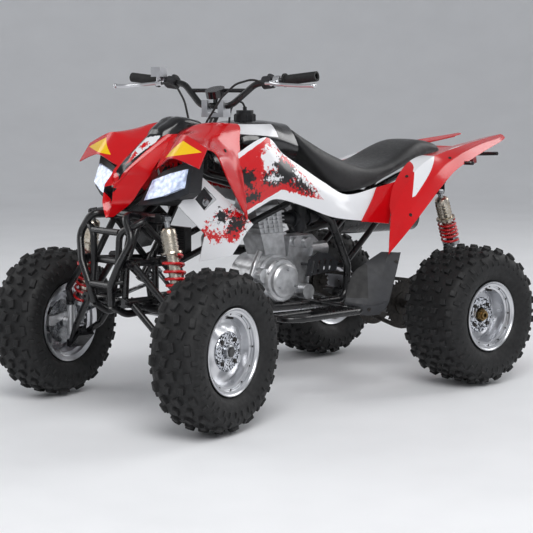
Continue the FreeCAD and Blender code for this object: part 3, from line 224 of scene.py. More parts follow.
# the rear fenders carry a white print stripe and a painted highlight along the blade's top
redPlastic = finish("moulded ABS red", **mouldedRed, layers=fenderArtAndHighlight)
wingPlastic = finish("moulded ABS red wing", **mouldedRed, layers=wingArt)
maskPlastic = finish("moulded ABS red mask", **mouldedRed, layers=hoodArt)
blackPlastic = finish("moulded ABS black", **mouldedBlack)
tankPlastic = finish("moulded ABS tank cover", **mouldedBlack, layers=tankArt)
# printed film over ABS: flat colours under one even, slightly softer gloss
printedFilm = {"dark": "#DEDFE2", "light": "#E6E7EA", "rough": (0.18, 0.28), "texture": (180, 3, 0.03),
               "coat": 0.4}
sidePlastic = finish("printed film over ABS", **printedFilm, layers=sideArt)
shroudPlastic = finish("printed film over white ABS", **printedFilm, layers=shroudArt)
# moulded polypropylene: a fine stipple that stays dull
stipple = {"rough": (0.5, 0.66), "texture": (60, 1.2, 0.25)}
dullPlastic = finish("stippled polypropylene", "#16171A", "#222327", **stipple)
# the grey guards carry a near black patch of painted shade in their recess
guardPlastic = finish("stippled grey polypropylene", "#26272A", "#303135", **stipple, layers=guardRecessShade)
# powder coat on steel: a satin skin with a slight orange peel
coatedSteel = finish("powder coated steel", "#08080A", "#121214", (0.24, 0.38), (60, 1.4, 0.1), coat=0.2)
springSteel = finish("red powder coated spring steel", "#B3060D", "#CE0D16", (0.24, 0.36), (40, 1.2, 0.1),
                     coat=0.4)
# sand cast metal: a pebbled skin, brighter on the lumps
castAluminium = finish("sand cast aluminium", "#B2B3B5", "#D8D9DB", (0.3, 0.42), (26, 1.1, 0.25), metallic=0.85)
# turned metal, its tool marks too fine to show: pale, with soft clear reflections
millAluminium = finish("turned aluminium", "#CDCED1", "#DFE0E3", (0.27, 0.35), (90, 0.5, 0.04),
                       metallic=1.0, edge=0)
# hard anodised tube: a warm pale grey, even and smooth
nickel = finish("hard anodised shock body", "#B9AE9C", "#D9D2C6", (0.24, 0.32), (30, 0.5, 0.01),
                metallic=1.0, edge=0)
# zinc plate: a cloudy grey shine
brightSteel = finish("zinc plated steel", "#8D8F92", "#B5B7BA", (0.22, 0.38), (20, 0.6, 0.1), metallic=1.0)
# oiled steel: dark metal that is dull in patches
darkSteel = finish("oiled steel", "#2B2A29", "#45423F", (0.35, 0.55), (12, 0.5, 0.2), metallic=0.8)
# etched plate: black spots on pale metal
etchedPlate = finish("etched aluminium plate", "#C9CDD6", "#E3E6EC", (0.2, 0.35), (20, 0.6, 0.1),
                     metallic=0.7, edge=0, layers=[fleck("#101217", 6, 0.5)])
# moulded rubber: black, with hardly a highlight
rubber = finish("moulded rubber", "#0B0B0C", "#161617", (0.55, 0.75), (30, 0.8, 0.3))
# cured tyre rubber: dull black, greyer where it is rubbed
tyreRubber = finish("tyre rubber", "#070708", "#131314", (0.56, 0.76), (40, 1.6, 0.35))
# vinyl upholstery: a fine leather grain, satin
vinyl = finish("seat vinyl", "#0C0C0E", "#141416", (0.42, 0.55), (40, 1.6, 0.35), sheen=0.1)
# bronze plate: a brownish satin metal
bronze = finish("bronze plated nut", "#6F5B3C", "#93794F", (0.25, 0.4), (10, 0.4, 0.1), metallic=1.0)
# heat paint: a thin dull black
coolerPaint = finish("black heat paint", "#0A0A0B", "#141416", (0.4, 0.55), (20, 0.6, 0.15))
# dyed acrylic: a deep red under a hard clear gloss
redLens = finish("moulded acrylic red", "#7D0207", "#A3040B", (0.08, 0.16), (20, 0.6, 0.05), coat=0.8)
# clear polycarbonate over a lit reflector: bright cells, a cool white
glow = {"cell": 16, "middle": 0.1, "rim": 0.75, "bright": 0.6, "faint": 0.04, "colour": "#D6E4FF"}
lensGlow = finish("lit polycarbonate lens", "#8FA6D0", "#DCE6FA", (0.05, 0.12), (16, 0.8, 0.05), coat=1.0)
glowTree = lensGlow.node_tree
glowShader = glowTree.nodes["Principled BSDF"]
glowCells = add(glowTree, "TexVoronoi", Vector=coordinates(glowTree), Scale=1 / (glow["cell"] * mm))
glowRange = add(glowTree, "MapRange", n0=glowCells.outputs["Distance"], n1=glow["middle"],
                n2=glow["rim"], n3=glow["bright"], n4=glow["faint"])
glowTree.links.new(glowRange.outputs["Result"], glowShader.inputs["Emission Strength"])
glowShader.inputs["Emission Color"].default_value = linear(glow["colour"])
print("materials made:", len(bpy.data.materials))

nodeFinishes = {
    coatedSteel: ["frame", "rear_subframe", "front_bumper", "foot_bars", "upper_arms", "lower_arms", "swingarm",
                  "panel_stays", "exhaust", "steering_column", "handlebar"],
    millAluminium: ["skid_plate", "shock_absorbers", "bar_clamps", "levers"],
    castAluminium: ["engine_cases", "engine_cylinder", "knuckle_left", "knuckle_right"],
    brightSteel: ["tie_rod_left", "tie_rod_right", "front_hub_left", "front_hub_right"],
    darkSteel: ["chain", "drive_sprocket", "rear_axle"],
    dullPlastic: ["intake", "fuel_cap", "headlights", "sprocket_cover", "switch_housings"],
    guardPlastic: ["heel_guards"],
    blackPlastic: ["gauge"],
    shroudPlastic: ["front_shrouds"],
    springSteel: ["shock_springs"],
    lensGlow: ["headlight_lenses"],
    redLens: ["tail_lamp"],
    rubber: ["grips", "control_cables"],
    coolerPaint: ["oil_cooler"],
}
for given, names in nodeFinishes.items():
    for name in names:
        nodes[name].data.materials.clear()
        nodes[name].data.materials.append(given)
print("nodes painted:", sum(len(names) for names in nodeFinishes.values()))


# Shapes

def through(points, steps):
    # a smooth line through the points; a point given twice is a corner
    line = []
    last = len(points) - 1
    for i in range(last):
        a, b = points[i], points[i + 1]
        if (b - a).length < 1e-6:
            continue
        before = points[i - 1] if i else a
        after = points[i + 2] if i + 2 <= last else b
        for k in range(steps):
            t = k / steps
            line.append(0.5 * (2 * a + (b - before) * t + (2 * before - 5 * a + 4 * b - after) * t ** 2
                               + (3 * a - before - 3 * b + after) * t ** 3))
    line.append(points[-1])
    return line


def smoothed(points, steps):
    return [tuple(point) for point in through([Vector(point) for point in points], steps)]


def ringFaces(rings, count, ringsClose=True, pointsClose=True):
    # four-cornered faces between neighbouring rings of points
    faces = []
    for k in range(rings if ringsClose else rings - 1):
        here, there = k * count, (k + 1) % rings * count
        faces += [(here + i, here + (i + 1) % count, there + (i + 1) % count, there + i)
                  for i in range(count if pointsClose else count - 1)]
    return faces


def skin(rows, along=6, across=6):
    # a smooth sheet through rows of points
    lines = [through([Vector(point) for point in row], along) for row in rows]
    columns = [through([line[j] for line in lines], across) for j in range(len(lines[0]))]
    vertices = [tuple(point) for column in columns for point in column]
    return vertices, ringFaces(len(columns), len(columns[0]), False, False)


def folded(row, *corners):
    # a row with these points given twice, so that it bends sharply there
    return [point for number, point in enumerate(row) for copy in range(1 + (number in corners))]


def mirroredRow(half):
    # a row from one side over the middle to the other; the last point given is the middle one
    return half + [(-x, y, z) for x, y, z in reversed(half[:-1])]


def withMirror(vertices, faces):
    count = len(vertices)
    return (vertices + [(-x, y, z) for x, y, z in vertices],
            faces + [tuple(i + count for i in reversed(face)) for face in faces])


def joined(shapes):
    vertices, faces = [], []
    for points, sides in shapes:
        faces += [tuple(i + len(vertices) for i in side) for side in sides]
        vertices += [tuple(point) for point in points]
    return vertices, faces


def lathe(outline, steps=96, wave=None):
    # turns a closed outline of (x, radius) about X; wave moves a band of radii back along X in lobes
    low, high, depth, lobes = wave or (0, 0, 0, 0)
    vertices = []
    for k in range(steps):
        angle = 2 * math.pi * k / steps
        for x, radius in outline:
            shift = 0.0
            if low < radius < high:
                swell = math.sin(math.pi * ((radius - low) / (high - low)))
                shift = depth * swell * (0.5 + 0.5 * math.cos(lobes * angle))
            vertices.append((x - shift, radius * math.sin(angle), radius * math.cos(angle)))
    return vertices, ringFaces(steps, len(outline))


def turned(degrees, axis="X"):
    return Matrix.Rotation(math.radians(degrees), 4, axis)


def moved(shape, matrix):
    return [tuple(matrix @ Vector(point)) for point in shape[0]], shape[1]


def flipped(shape):
    return [(-x, y, z) for x, y, z in shape[0]], shape[1]


def inMetres(shape):
    # from the maker's frame to the scene's
    return [(x * mm, (y + frameShift) * mm, z * mm) for x, y, z in shape[0]], shape[1]


def newMesh(name, shape):
    mesh = bpy.data.meshes.new(name)
    mesh.from_pydata(shape[0], [], shape[1])
    return mesh


def newObject(name, data):
    made = bpy.data.objects.new(name, data)
    collection.objects.link(made)
    return made


def mend(mesh, gap, inwards=False):
    # merges points closer than the gap and turns the faces outwards, or inwards
    work = bmesh.new()
    work.from_mesh(mesh)
    bmesh.ops.remove_doubles(work, verts=work.verts, dist=gap * mm)
    bmesh.ops.recalc_face_normals(work, faces=work.faces)
    if inwards:
        bmesh.ops.reverse_faces(work, faces=work.faces)
    work.to_mesh(mesh)
    work.free()


def shadeSmooth(mesh):
    for polygon in mesh.polygons:
        polygon.use_smooth = True


def harden(piece):
    # what the modifiers make becomes the piece's own mesh
    bpy.context.view_layer.update()
    graph = bpy.context.evaluated_depsgraph_get()
    made = bpy.data.meshes.new_from_object(piece.evaluated_get(graph), depsgraph=graph)
    piece.modifiers.clear()
    piece.data = made


bevelling = {"segments": 2, "angle": 50}


def addPiece(name, shape, material, replaced=(), wall=0.0, edge=0.0, angle=40, body="body"):
    # wall and edge in millimetres; faces that meet at more than the angle, in degrees, look sharp
    mesh = newMesh(name, inMetres(shape))
    mesh.materials.append(material)
    piece = newObject(name, mesh)
    if wall:
        shell = piece.modifiers.new("wall", "SOLIDIFY")
        shell.thickness, shell.offset, shell.use_even_offset = wall * mm, -1.0, True
    else:
        mend(mesh, 0.05)
    if edge:
        softened = piece.modifiers.new("edges", "BEVEL")
        softened.width, softened.segments, softened.limit_method = edge * mm, bevelling["segments"], "ANGLE"
        softened.angle_limit = math.radians(bevelling["angle"])
    if wall or edge:
        harden(piece)
    shadeSmooth(piece.data)
    piece.data.set_sharp_from_angle(angle=math.radians(angle))
    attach(piece, body)
    if replaced:
        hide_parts(*replaced)
    return piece


# Repeats by Geometry Nodes

def repeatTree(name):
    # copies of one shape, each turned about X and moved by one step more than the last
    tree = bpy.data.node_groups.new(name, "GeometryNodeTree")
    for label, kind in (("Geometry", "Geometry"), ("Count", "Int"), ("Turn", "Float"), ("Step", "Vector"),
                        ("Material", "Material")):
        tree.interface.new_socket(name=label, in_out="INPUT", socket_type="NodeSocket" + kind)
    tree.interface.new_socket(name="Geometry", in_out="OUTPUT", socket_type="NodeSocketGeometry")
    given = add(tree, "NodeGroupInput").outputs
    index = add(tree, "GeometryNodeInputIndex").outputs[0]
    place = add(tree, "VectorMath", "SCALE", n0=given["Step"], Scale=index).outputs[0]
    points = add(tree, "GeometryNodePoints", Count=given["Count"], Position=place).outputs[0]
    angle = add(tree, "Math", "MULTIPLY", n0=index, n1=given["Turn"]).outputs[0]
    turn = add(tree, "FunctionNodeEulerToRotation", n0=add(tree, "CombineXYZ", X=angle).outputs[0])
    copies = add(tree, "GeometryNodeInstanceOnPoints", Points=points, Instance=given["Geometry"],
                 Rotation=turn.outputs[0]).outputs[0]
    plain = add(tree, "GeometryNodeRealizeInstances", Geometry=copies).outputs[0]
    painted = add(tree, "GeometryNodeSetMaterial", Geometry=plain, Material=given["Material"]).outputs[0]
    add(tree, "NodeGroupOutput", Geometry=painted)
    return tree


copier = repeatTree("repeated parts")


def repeated(shape, count, turn=0.0, step=(0, 0, 0), material=None):
    # the copies as one plain shape; turn is in degrees about X, step in millimetres
    carrier = newObject("oneCopy", newMesh("oneCopy", shape))
    grower = carrier.modifiers.new("repeat", "NODES")
    grower.node_group = copier
    values = {"Count": count, "Turn": math.radians(turn), "Step": step, "Material": material or rubber}
    for socket in copier.interface.items_tree:
        if socket.in_out == "INPUT" and socket.name in values:
            grower[socket.identifier] = values[socket.name]
    harden(carrier)
    made = ([tuple(v.co) for v in carrier.data.vertices], [tuple(p.vertices) for p in carrier.data.polygons])
    bpy.data.objects.remove(carrier)
    return made


def block(middle, across, up, size, taper=0.86, turn=0.0, chamfer=1.5):
    # a chamfered block: across and up are its directions in the X-Z plane, size is (across, round, high)
    across, up = Vector(across).normalized(), Vector(up).normalized()
    around = up.cross(across)
    spin = Matrix.Rotation(math.radians(turn), 3, up)
    across, around = spin @ across, spin @ around
    work = bmesh.new()
    corners = []
    for level, share in ((0.0, 1.0), (size[2], taper)):
        for a, b in ((-1, -1), (1, -1), (1, 1), (-1, 1)):
            corners.append(work.verts.new(Vector(middle) + across * a * size[0] / 2 * share
                                          + around * b * size[1] / 2 * share + up * level))
    for face in ((3, 2, 1, 0), (4, 5, 6, 7), (0, 1, 5, 4), (1, 2, 6, 5), (2, 3, 7, 6), (3, 0, 4, 7)):
        work.faces.new([corners[i] for i in face])
    tops = [edge for edge in work.edges if all(v in corners[4:] for v in edge.verts)]
    sides = [edge for edge in work.edges if sum(v in corners[4:] for v in edge.verts) == 1]
    bmesh.ops.bevel(work, geom=tops + sides, offset=chamfer, segments=1, affect="EDGES")
    work.verts.index_update()
    made = ([tuple(v.co) for v in work.verts], [tuple(v.index for v in face.verts) for face in work.faces])
    work.free()
    return made


def prism(radius, height, sides, place, hole=0.0):
    # a nut, bolt head or collar standing along X on the place, its outer end chamfered
    outline = [(0, hole), (height, hole), (height, radius * 0.9), (height * 0.8, radius), (0, radius)]
    return moved(lathe(outline, sides), Matrix.Translation(place))


# Wheels

wheels = {
    "axle": 615, "kingpin": 355, "inset": 70, "turn": 15, "rearCentre": 410, "steps": 144, "carcassSteps": 4,
    # the barrel's section: out from the bead seat's outer end, from its inner end, and from the outer end again
    "lip": [(2, 12), (5, 11), (6, 8), (4, 5), (0, 3), (-2, -4), (-9, -5), (-10, -8), (-14, -9), (-16, -17),
            (-30, -18)],
    "backLip": [(16, -17), (12, -7), (2, -4), (0, 4), (-4, 12), (-1, 12), (2, -0.5), (12, -3), (18, -13)],
    "well": [(-20, -13), (-12, -3), (-3, -0.5)],
    # the disc's section: out from the web, with radii off the bead's, then as shares of it
    "foot": [(-2, -14), (2, -22)], "dish": [(9, 0.76), (17, 0.6), (22, 0.46)], "hub": 22, "hubFlat": 14,
    "discWall": 6,
    # the spokes: a band between two shares of the bead's radius, its depth and the number of lobes
    "wave": (0.4, 0.86, 13, 4),
    # fittings: radius, height and sides, then how many
    "stud": (8, 9, 6), "studs": 4, "studRing": 48, "studTurn": 45, "rivet": (3, 2.5, 10), "rivets": 12,
    "valve": (4, 26, 12), "plate": 60, "plateThick": 3,
    "cap": [(-8, 0), (16, 0), (19, 8), (17, 16), (3, 19), (-8, 19)],
    "nut": (24, 20, 6), "nutHole": 9, "axleEnd": [(-6, 8), (24, 8), (24, 15), (-6, 16)]}
# each lug: x, radius, lean of its top outwards, size across, round and high, turn, phase
frontWheel = {
    "height": 260, "bead": 127, "half": 65, "web": 22, "bore": 24.5, "pitches": 18,
    "outer": [(60.7, 129), (62, 141), (74, 152), (84, 172), (88, 198), (84, 221), (66, 238), (36, 245.5),
              (0, 248)],
    "inner": [(54, 129), (55, 143), (68, 160), (77, 180), (79, 198), (74, 214), (60, 228), (32, 236), (0, 238)],
    "lugs": [(13, 246, 2, 23, 33, 14, 18, 0.0), (38, 244, 9, 21, 30, 15, -14, 0.5),
             (62, 238, 30, 21, 36, 14, 8, 0.02), (79, 224, 58, 24, 15, 9, 0, 0.5),
             (84, 214, 68, 22, 12, 6, 0, 0.0), (88, 196, 84, 20, 7, 3.5, 0, 0.25),
             (88, 196, 84, 20, 7, 3.5, 0, 0.75)]}
rearWheel = {
    "height": 254, "bead": 114.3, "half": 102, "web": 30, "bore": 30.5, "pitches": 20,
    "outer": [(97.7, 116), (99, 128), (110, 140), (120, 158), (125, 184), (120, 210), (100, 230), (60, 238),
              (0, 241)],
    "inner": [(90, 116), (91, 130), (104, 148), (112, 166), (115, 184), (109, 204), (92, 220), (56, 229),
              (0, 231)],
    "lugs": [(16, 240, 2, 25, 22, 14, 12, 0.0), (44, 239, 5, 24, 22, 15, -8, 0.5),
             (74, 236, 14, 25, 24, 15, 6, 0.05), (99, 229, 36, 26, 26, 14, 0, 0.55),
             (114, 214, 58, 26, 14, 9, 0, 0.0), (122, 197, 74, 22, 7, 4, 0, 0.3),
             (122, 197, 74, 22, 7, 4, 0, 0.8), (16, 240, 2, 10, 12, 9, 0, 0.5)]}
lugFit = {"sunk": 2, "taper": 0.84, "chamfer": 1.6}


def carcass(spec):
    # half the section from bead to crown, mirrored, on the outside and then on the inside
    outer, inner = [smoothed(spec[wall], wheels["carcassSteps"]) for wall in ("outer", "inner")]
    return (outer + [(-x, r) for x, r in reversed(outer[:-1])] + [(-x, r) for x, r in inner]
            + [(x, r) for x, r in reversed(inner[:-1])])


def tread(spec):
    parts = [lathe(carcass(spec), wheels["steps"])]
    pitch = 360 / spec["pitches"]
    for x, radius, lean, across, around, high, turn, phase in spec["lugs"]:
        angle = math.radians(lean)
        lug = block((x, 0, radius - lugFit["sunk"]), (math.cos(angle), 0, -math.sin(angle)),
                    (math.sin(angle), 0, math.cos(angle)), (across, around, high), lugFit["taper"], turn,
                    min(lugFit["chamfer"], high / 4))
        for side in (1, -1):
            # the other half of the tread runs half a pitch behind
            sample = moved(lug if side > 0 else flipped(lug), turned((phase + (side < 0) / 2) * pitch))
            parts.append(repeated(sample, spec["pitches"], pitch))
    return joined(parts)


def barrel(spec):
    half, bead = spec["half"], spec["bead"]
    outline = [(end + x, bead + r) for end, part in ((half, "lip"), (-half, "backLip"), (half, "well"))
               for x, r in wheels[part]]
    return lathe(outline, wheels["steps"])


def disc(spec):
    web, bead, bore, hub = spec["web"], spec["bead"], spec["bore"], spec["web"] + wheels["hub"]
    front = smoothed([(web + x, bead + r) for x, r in wheels["foot"]]
                     + [(web + x, bead * share) for x, share in wheels["dish"]]
                     + [(hub, bore + wheels["hubFlat"]), (hub, bore)], 6)
    back = [(x - wheels["discWall"], r) for x, r in reversed(front)]
    low, high, depth, lobes = wheels["wave"]
    return lathe(front + back, wheels["steps"], (bead * low, bead * high, depth, lobes))


def wheelPlace(end, side):
    mirror = Matrix.Scale(side, 4, (1, 0, 0))
    if end == "front":
        return (Matrix.Translation((side * wheels["kingpin"], -wheels["axle"], frontWheel["height"]))
                @ turned(wheels["turn"], "Z") @ Matrix.Translation((side * wheels["inset"], 0, 0)) @ mirror)
    return Matrix.Translation((side * wheels["rearCentre"], wheels["axle"], rearWheel["height"])) @ mirror


for end, side in (("front", 1), ("front", -1), ("rear", 1), ("rear", -1)):
    spec = frontWheel if end == "front" else rearWheel
    hand = "left" if side > 0 else "right"
    body = "front_wheel_" + hand if end == "front" else "rear_axle_assembly"
    half, bead, bore, hub = spec["half"], spec["bead"], spec["bore"], spec["web"] + wheels["hub"]
    plate, face = wheels["plate"], hub + wheels["plateThick"]
    ring = lathe([(hub, bore - 3), (face, bore - 3), (face, plate + 2), (hub, plate + 4)], 64)
    stud = moved(prism(*wheels["stud"], (hub - 2, 0, wheels["studRing"])), turned(wheels["studTurn"]))
    rivet = prism(*wheels["rivet"], (half - 10, 0, bead - 7.5))
    fittings = [repeated(stud, wheels["studs"], 360 / wheels["studs"]),
                repeated(rivet, wheels["rivets"], 360 / wheels["rivets"]),
                prism(*wheels["valve"], (half - 26, 0, bead - 20))]
    cap = lathe([(hub + x, r) for x, r in wheels["cap"]], 48)
    nut = joined([prism(*wheels["nut"], (hub - 4, 0, 0), wheels["nutHole"]),
                  lathe([(hub + x, r) for x, r in wheels["axleEnd"]], 32)])
    rim = joined([barrel(spec), disc(spec)])
    parts = [("Tyre", tread(spec), tyreRubber, "tyre_rubber", [f"{end}_tyre_{hand}"], 38),
             ("Rim", rim, millAluminium, "machined_alloy", [f"{end}_rim_{hand}"], 32),
             ("Plate", ring, etchedPlate, "machined_alloy", [], 30),
             ("Studs", joined(fittings), darkSteel, "steel", [], 30),
             ("Cap", cap, blackPlastic, "black_plastic", [], 40) if end == "front"
             else ("Nut", nut, bronze, "steel", [], 30)]
    for part, shape, material, slot, replaced, angle in parts:
        addPiece(end + hand.capitalize() + part, moved(shape, wheelPlace(end, side)), material, replaced,
                 angle=angle, body=body)
print("wheels made")


# Body panels

wing = {
    "wall": 4,
    # by distance from the middle: from the front lip over the fold to the rear
    "stations": {
        58: [(-556, 802), (-500, 896), (-440, 932), (-390, 942), (-345, 944)],
        95: [(-578, 812), (-516, 902), (-440, 944), (-370, 953), (-296, 950)],
        130: [(-590, 824), (-530, 906), (-440, 950), (-345, 957), (-252, 948)],
        190: [(-600, 850), (-540, 925), (-440, 932), (-360, 916), (-300, 874)],
        245: [(-596, 846), (-545, 913), (-450, 892), (-360, 800), (-313, 655)]},
    "edge": [(330, -588, 822), (322, -548, 884), (310, -497, 864), (286, -428, 776), (256, -336, 664)]}
wingRows = [[(x, y, z) for y, z in line] for x, line in wing["stations"].items()] + [wing["edge"]]
addPiece("frontFenders", withMirror(*skin([folded(row, 1) for row in wingRows])), wingPlastic,
         ["front_fenders"], wing["wall"], angle=35)

mask = {
    "wall": 4,
    # by height: from the side to the middle
    "lines": {
        656: [(12, -690), (7, -708), (4, -711), (2, -712), (0, -713)],
        700: [(46, -645), (26, -706), (18, -690), (9, -674), (0, -668)],
        744: [(54, -612), (25, -700), (17, -676), (8, -656), (0, -650)],
        762: [(57, -598), (27, -694), (20, -668), (11, -664), (0, -676)],
        788: [(60, -576), (33, -666), (28, -650), (21, -664), (0, -642)],
        815: [(62, -560), (41, -640), (36, -628), (27, -640), (0, -634)],
        870: [(66, -510), (53, -562), (48, -556), (40, -570), (0, -588)],
        922: [(70, -440), (61, -478), (57, -478), (49, -494), (0, -528)]}}
maskRows = [mirroredRow(folded([(x, y, z) for x, y in line], 1, 2, 3)) for z, line in mask["lines"].items()]
addPiece("noseMask", skin(maskRows, 5, 5), maskPlastic, ["nose_cowl"], mask["wall"], angle=30)

tank = {
    "wall": 4, "foot": 0.62, "shoulder": 0.96, "crown": 0.6, "cheek": 40, "fall": 6,
    # by y: half width, top, shoulder, floor
    "rings": {-226: (112, 938, 908, 842), -215: (116, 940, 909, 838), -170: (150, 958, 916, 790),
              -90: (152, 962, 914, 770), 5.7: (140, 950, 890, 770)}}
tankRows = [mirroredRow([(tank["foot"] * half, y, floor), (half, y, shoulder - tank["cheek"]),
                         (tank["shoulder"] * half, y, shoulder), (tank["crown"] * half, y, top - tank["fall"]),
                         (0, y, top)])
            for y, (half, top, shoulder, floor) in tank["rings"].items()]
addPiece("tankCover", skin(tankRows, 5, 5), tankPlastic, ["fuel_tank"], tank["wall"])

pod = {
    "wall": 3, "shoulder": 0.8, "crown": 0.4, "fall": 12,
    # by y: half width, top, floor
    "rings": {-520: (40, 912, 885), -506: (50, 938, 892), -470: (62, 960, 905), -430: (66, 978, 915),
              -350: (64, 965, 925)}}
podRows = [mirroredRow([(half, y, floor), (pod["shoulder"] * half, y, top - pod["fall"]),
                        (pod["crown"] * half, y, top), (0, y, top)])
           for y, (half, top, floor) in pod["rings"].items()]
addPiece("instrumentPod", skin(podRows, 5, 5), blackPlastic, ["instrument_pod"], pod["wall"])

sidePanel = {
    "wall": 4,
    # from the top edge down, each row from the front to the rear
    "rows": [
        [(204, -340, 848), (178, -178, 908), (172, -92, 850), (170, -11, 806), (166, 110, 742), (166, 223, 694),
         (182, 356, 716)],
        [(214, -338, 800), (196, -186, 862), (190, -92, 814), (188, -11, 774), (181, 110, 716), (178, 223, 672),
         (190, 350, 692)],
        [(214, -330, 750), (208, -190, 800), (200, -92, 770), (197, -11, 736), (190, 110, 684), (186, 223, 648),
         (192, 340, 668)],
        [(210, -313, 698), (207, -200, 741), (202, -118, 734), (198, -16, 702), (194, 115, 654),
         (193, 246, 624), (197, 330, 634)],
        [(206, -296, 646), (204, -210, 682), (202, -144, 698), (198, -20, 668), (196, 120, 622),
         (198, 268, 600), (200, 320, 600)]]}
addPiece("sidePanels", withMirror(*skin(sidePanel["rows"], 6, 5)), sidePlastic,
         ["side_panels"], sidePanel["wall"], angle=35)

tail = {
    "wall": 4,
    # from the outer edge over the blade and a fold to the seat's side
    "rows": [
        [(332, 268, 490), (318, 284, 520), (282, 330, 620), (252, 352, 652)],
        [(328, 372, 566), (308, 372, 604), (262, 402, 686), (216, 408, 720)],
        [(308, 492, 648), (286, 500, 700), (236, 500, 768), (176, 508, 786)],
        [(290, 590, 714), (268, 596, 762), (214, 604, 812), (150, 600, 816)],
        [(268, 690, 768), (240, 700, 806), (190, 704, 832), (138, 700, 828)],
        [(246, 800, 804), (220, 806, 836), (172, 806, 850), (122, 806, 846)],
        [(204, 940, 836), (182, 944, 860), (148, 944, 869), (96, 944, 862)],
        [(162, 1071, 862), (150, 1071, 876), (120, 1071, 884), (88, 1071, 880)],
        [(134, 1134, 876), (124, 1134, 886), (112, 1134, 891), (98, 1134, 889)]],
    "panel": [[(196, 344, 716), (200, 400, 727), (205, 452, 738)],
              [(197, 314, 664), (206, 362, 668), (220, 408, 680)],
              [(200, 262, 597), (210, 316, 592), (224, 380, 584)]],
    # y, half width, floor, top
    "deck": [(822, 140, 809, 828), (880, 128, 818, 836), (940, 110, 826, 842)], "deckLean": 4, "deckCrown": 3}
deckRows = [mirroredRow([(half, y, floor), (half - tail["deckLean"], y, top), (0, y, top + tail["deckCrown"])])
            for y, half, floor, top in tail["deck"]]
tailSkins = [withMirror(*skin([folded(row, 1, 2) for row in tail["rows"]])),
             withMirror(*skin(tail["panel"], 4, 4)), skin(deckRows, 5, 5)]
addPiece("rearFenders", joined(tailSkins), redPlastic, ["rear_fenders"], tail["wall"], angle=32)

heel = {
    "wall": 6, "edge": 1.2,
    # by height: x and y
    "rows": {290: [(292, 100), (340, 150), (356, 198)], 325: [(290, 92), (346, 160), (372, 226)],
             416: [(262, 153), (320, 220), (350, 276)], 455: [(274, 206), (318, 258), (340, 300)],
             490: [(285, 279), (312, 302), (330, 323)]},
    "rib": [[(316, 282, 492), (336, 326, 494)], [(330, 236, 430), (356, 284, 430)],
            [(356, 172, 330), (380, 224, 330)]],
    "lip": [[(294, 84, 334), (360, 158, 320), (382, 222, 332)],
            [(300, 92, 292), (350, 150, 284), (362, 198, 286)]]}
heelRows = [[(x, y, z) for x, y in line] for z, line in heel["rows"].items()]
heelSkins = [withMirror(*skin(rows)) for rows in (heelRows, heel["rib"], heel["lip"])]
addPiece("heelGuards", joined(heelSkins), guardPlastic, ["heel_guards"], heel["wall"],
         heel["edge"])

# the shroud's window shows black, with its bolt; radius, height and sides of the bolt's washer and head
window = {"place": (203, -471, 714), "size": (60, 60, 6), "turn": 45, "taper": 0.9, "bolt": (209, -466, 704),
          "washer": (13, 5, 32), "head": (9, 12, 6)}
backs, bolts = [], []
for side in (1, -1):
    x, y, z = window["place"]
    backs.append(moved(block((0, 0, 0), (0, 0, 1), (1, 0, 0), window["size"], window["taper"]),
                       Matrix.Translation((side * x, y, z)) @ turned(window["turn"])))
    bolt = joined([prism(*window[part], window["bolt"]) for part in ("washer", "head")])
    bolts.append(bolt if side > 0 else flipped(bolt))
addPiece("shroudWindows", joined(backs), dullPlastic)
addPiece("shroudBolts", joined(bolts), brightSteel)
print("panels made")


# Screws, laid on the panels' outer faces

screws = {"places": {"rearFenders": [(470, 752), (404, 620), (700, 812)],
                     "heelGuards": [(296, 462), (150, 306)],
                     "sidePanels": [(330, 650), (-300, 800)], "frontFenders": [(-400, 870)]},
          "radius": 6.5, "height": 3, "sunk": 2, "rim": 0.8, "socket": 3}


def laidOn(piece, y, z):
    # where a line from the rider's left first meets the piece, and the face's direction there
    tree = BVHTree.FromPolygons([v.co for v in piece.data.vertices], [p.vertices for p in piece.data.polygons])
    hit, normal, _, _ = tree.ray_cast(Vector((1, (y + frameShift) * mm, z * mm)), Vector((-1, 0, 0)))
    return (hit.x / mm, y, z), normal if normal.x > 0 else -normal


radius, height, sunk, socket = screws["radius"], screws["height"], screws["sunk"], screws["socket"]
screw = lathe([(-sunk, 0), (height * 0.4, 0), (height * 0.4, socket), (height, socket + 0.4),
               (height, radius * 0.8), (screws["rim"], radius), (-sunk, radius)], 20)
heads = []
for name, spots in screws["places"].items():
    for y, z in spots:
        place, normal = laidOn(bpy.data.objects[name], y, z)
        turn = Vector((1, 0, 0)).rotation_difference(normal).to_matrix().to_4x4()
        head = moved(screw, Matrix.Translation(place) @ turn)
        heads += [head, flipped(head)]
addPiece("panelScrews", joined(heads), darkSteel, angle=30)
print("screws laid:", len(heads))


# Shock absorbers

shocks = {
    "lines": [((200, -618, 658), (300, -616, 256)), ((-200, -618, 658), (-300, -616, 256)),
              ((100, 788, 677), (100, 872, 436))],
    # body and coil lie between two shares of the line; radii and wire in millimetres
    "front": {"body": (0.07, 0.27), "radius": 25, "coil": (0.28, 0.79), "turns": 8, "wire": 4.6},
    "rear": {"body": (0.10, 0.44), "radius": 27, "coil": (0.46, 0.84), "turns": 5, "wire": 4.8},
    "coilRadius": 32, "turnSteps": 24, "wireSteps": 8, "closing": 0.10,
    "ribs": 4, "firstRib": 0.34, "ribStep": 0.14, "rib": [(-2, 0), (-1.6, 2), (1.6, 2), (2, 0)],
    "rod": 9, "tube": 20, "eye": (12, 26, 24), "eyeHole": 6,
    # along the shaft from the coil's far end: the sleeve, the spring's plate and the neck
    "plate": [(-34, 9), (-34, 16), (-8, 16), (-8, 34), (6, 34), (8, 20), (14, 13)]}


def onLine(shape, start, end):
    # lays a shape made along X onto a line
    turn = Vector((1, 0, 0)).rotation_difference(Vector(end) - Vector(start)).to_matrix().to_4x4()
    return moved(shape, Matrix.Translation(start) @ turn)


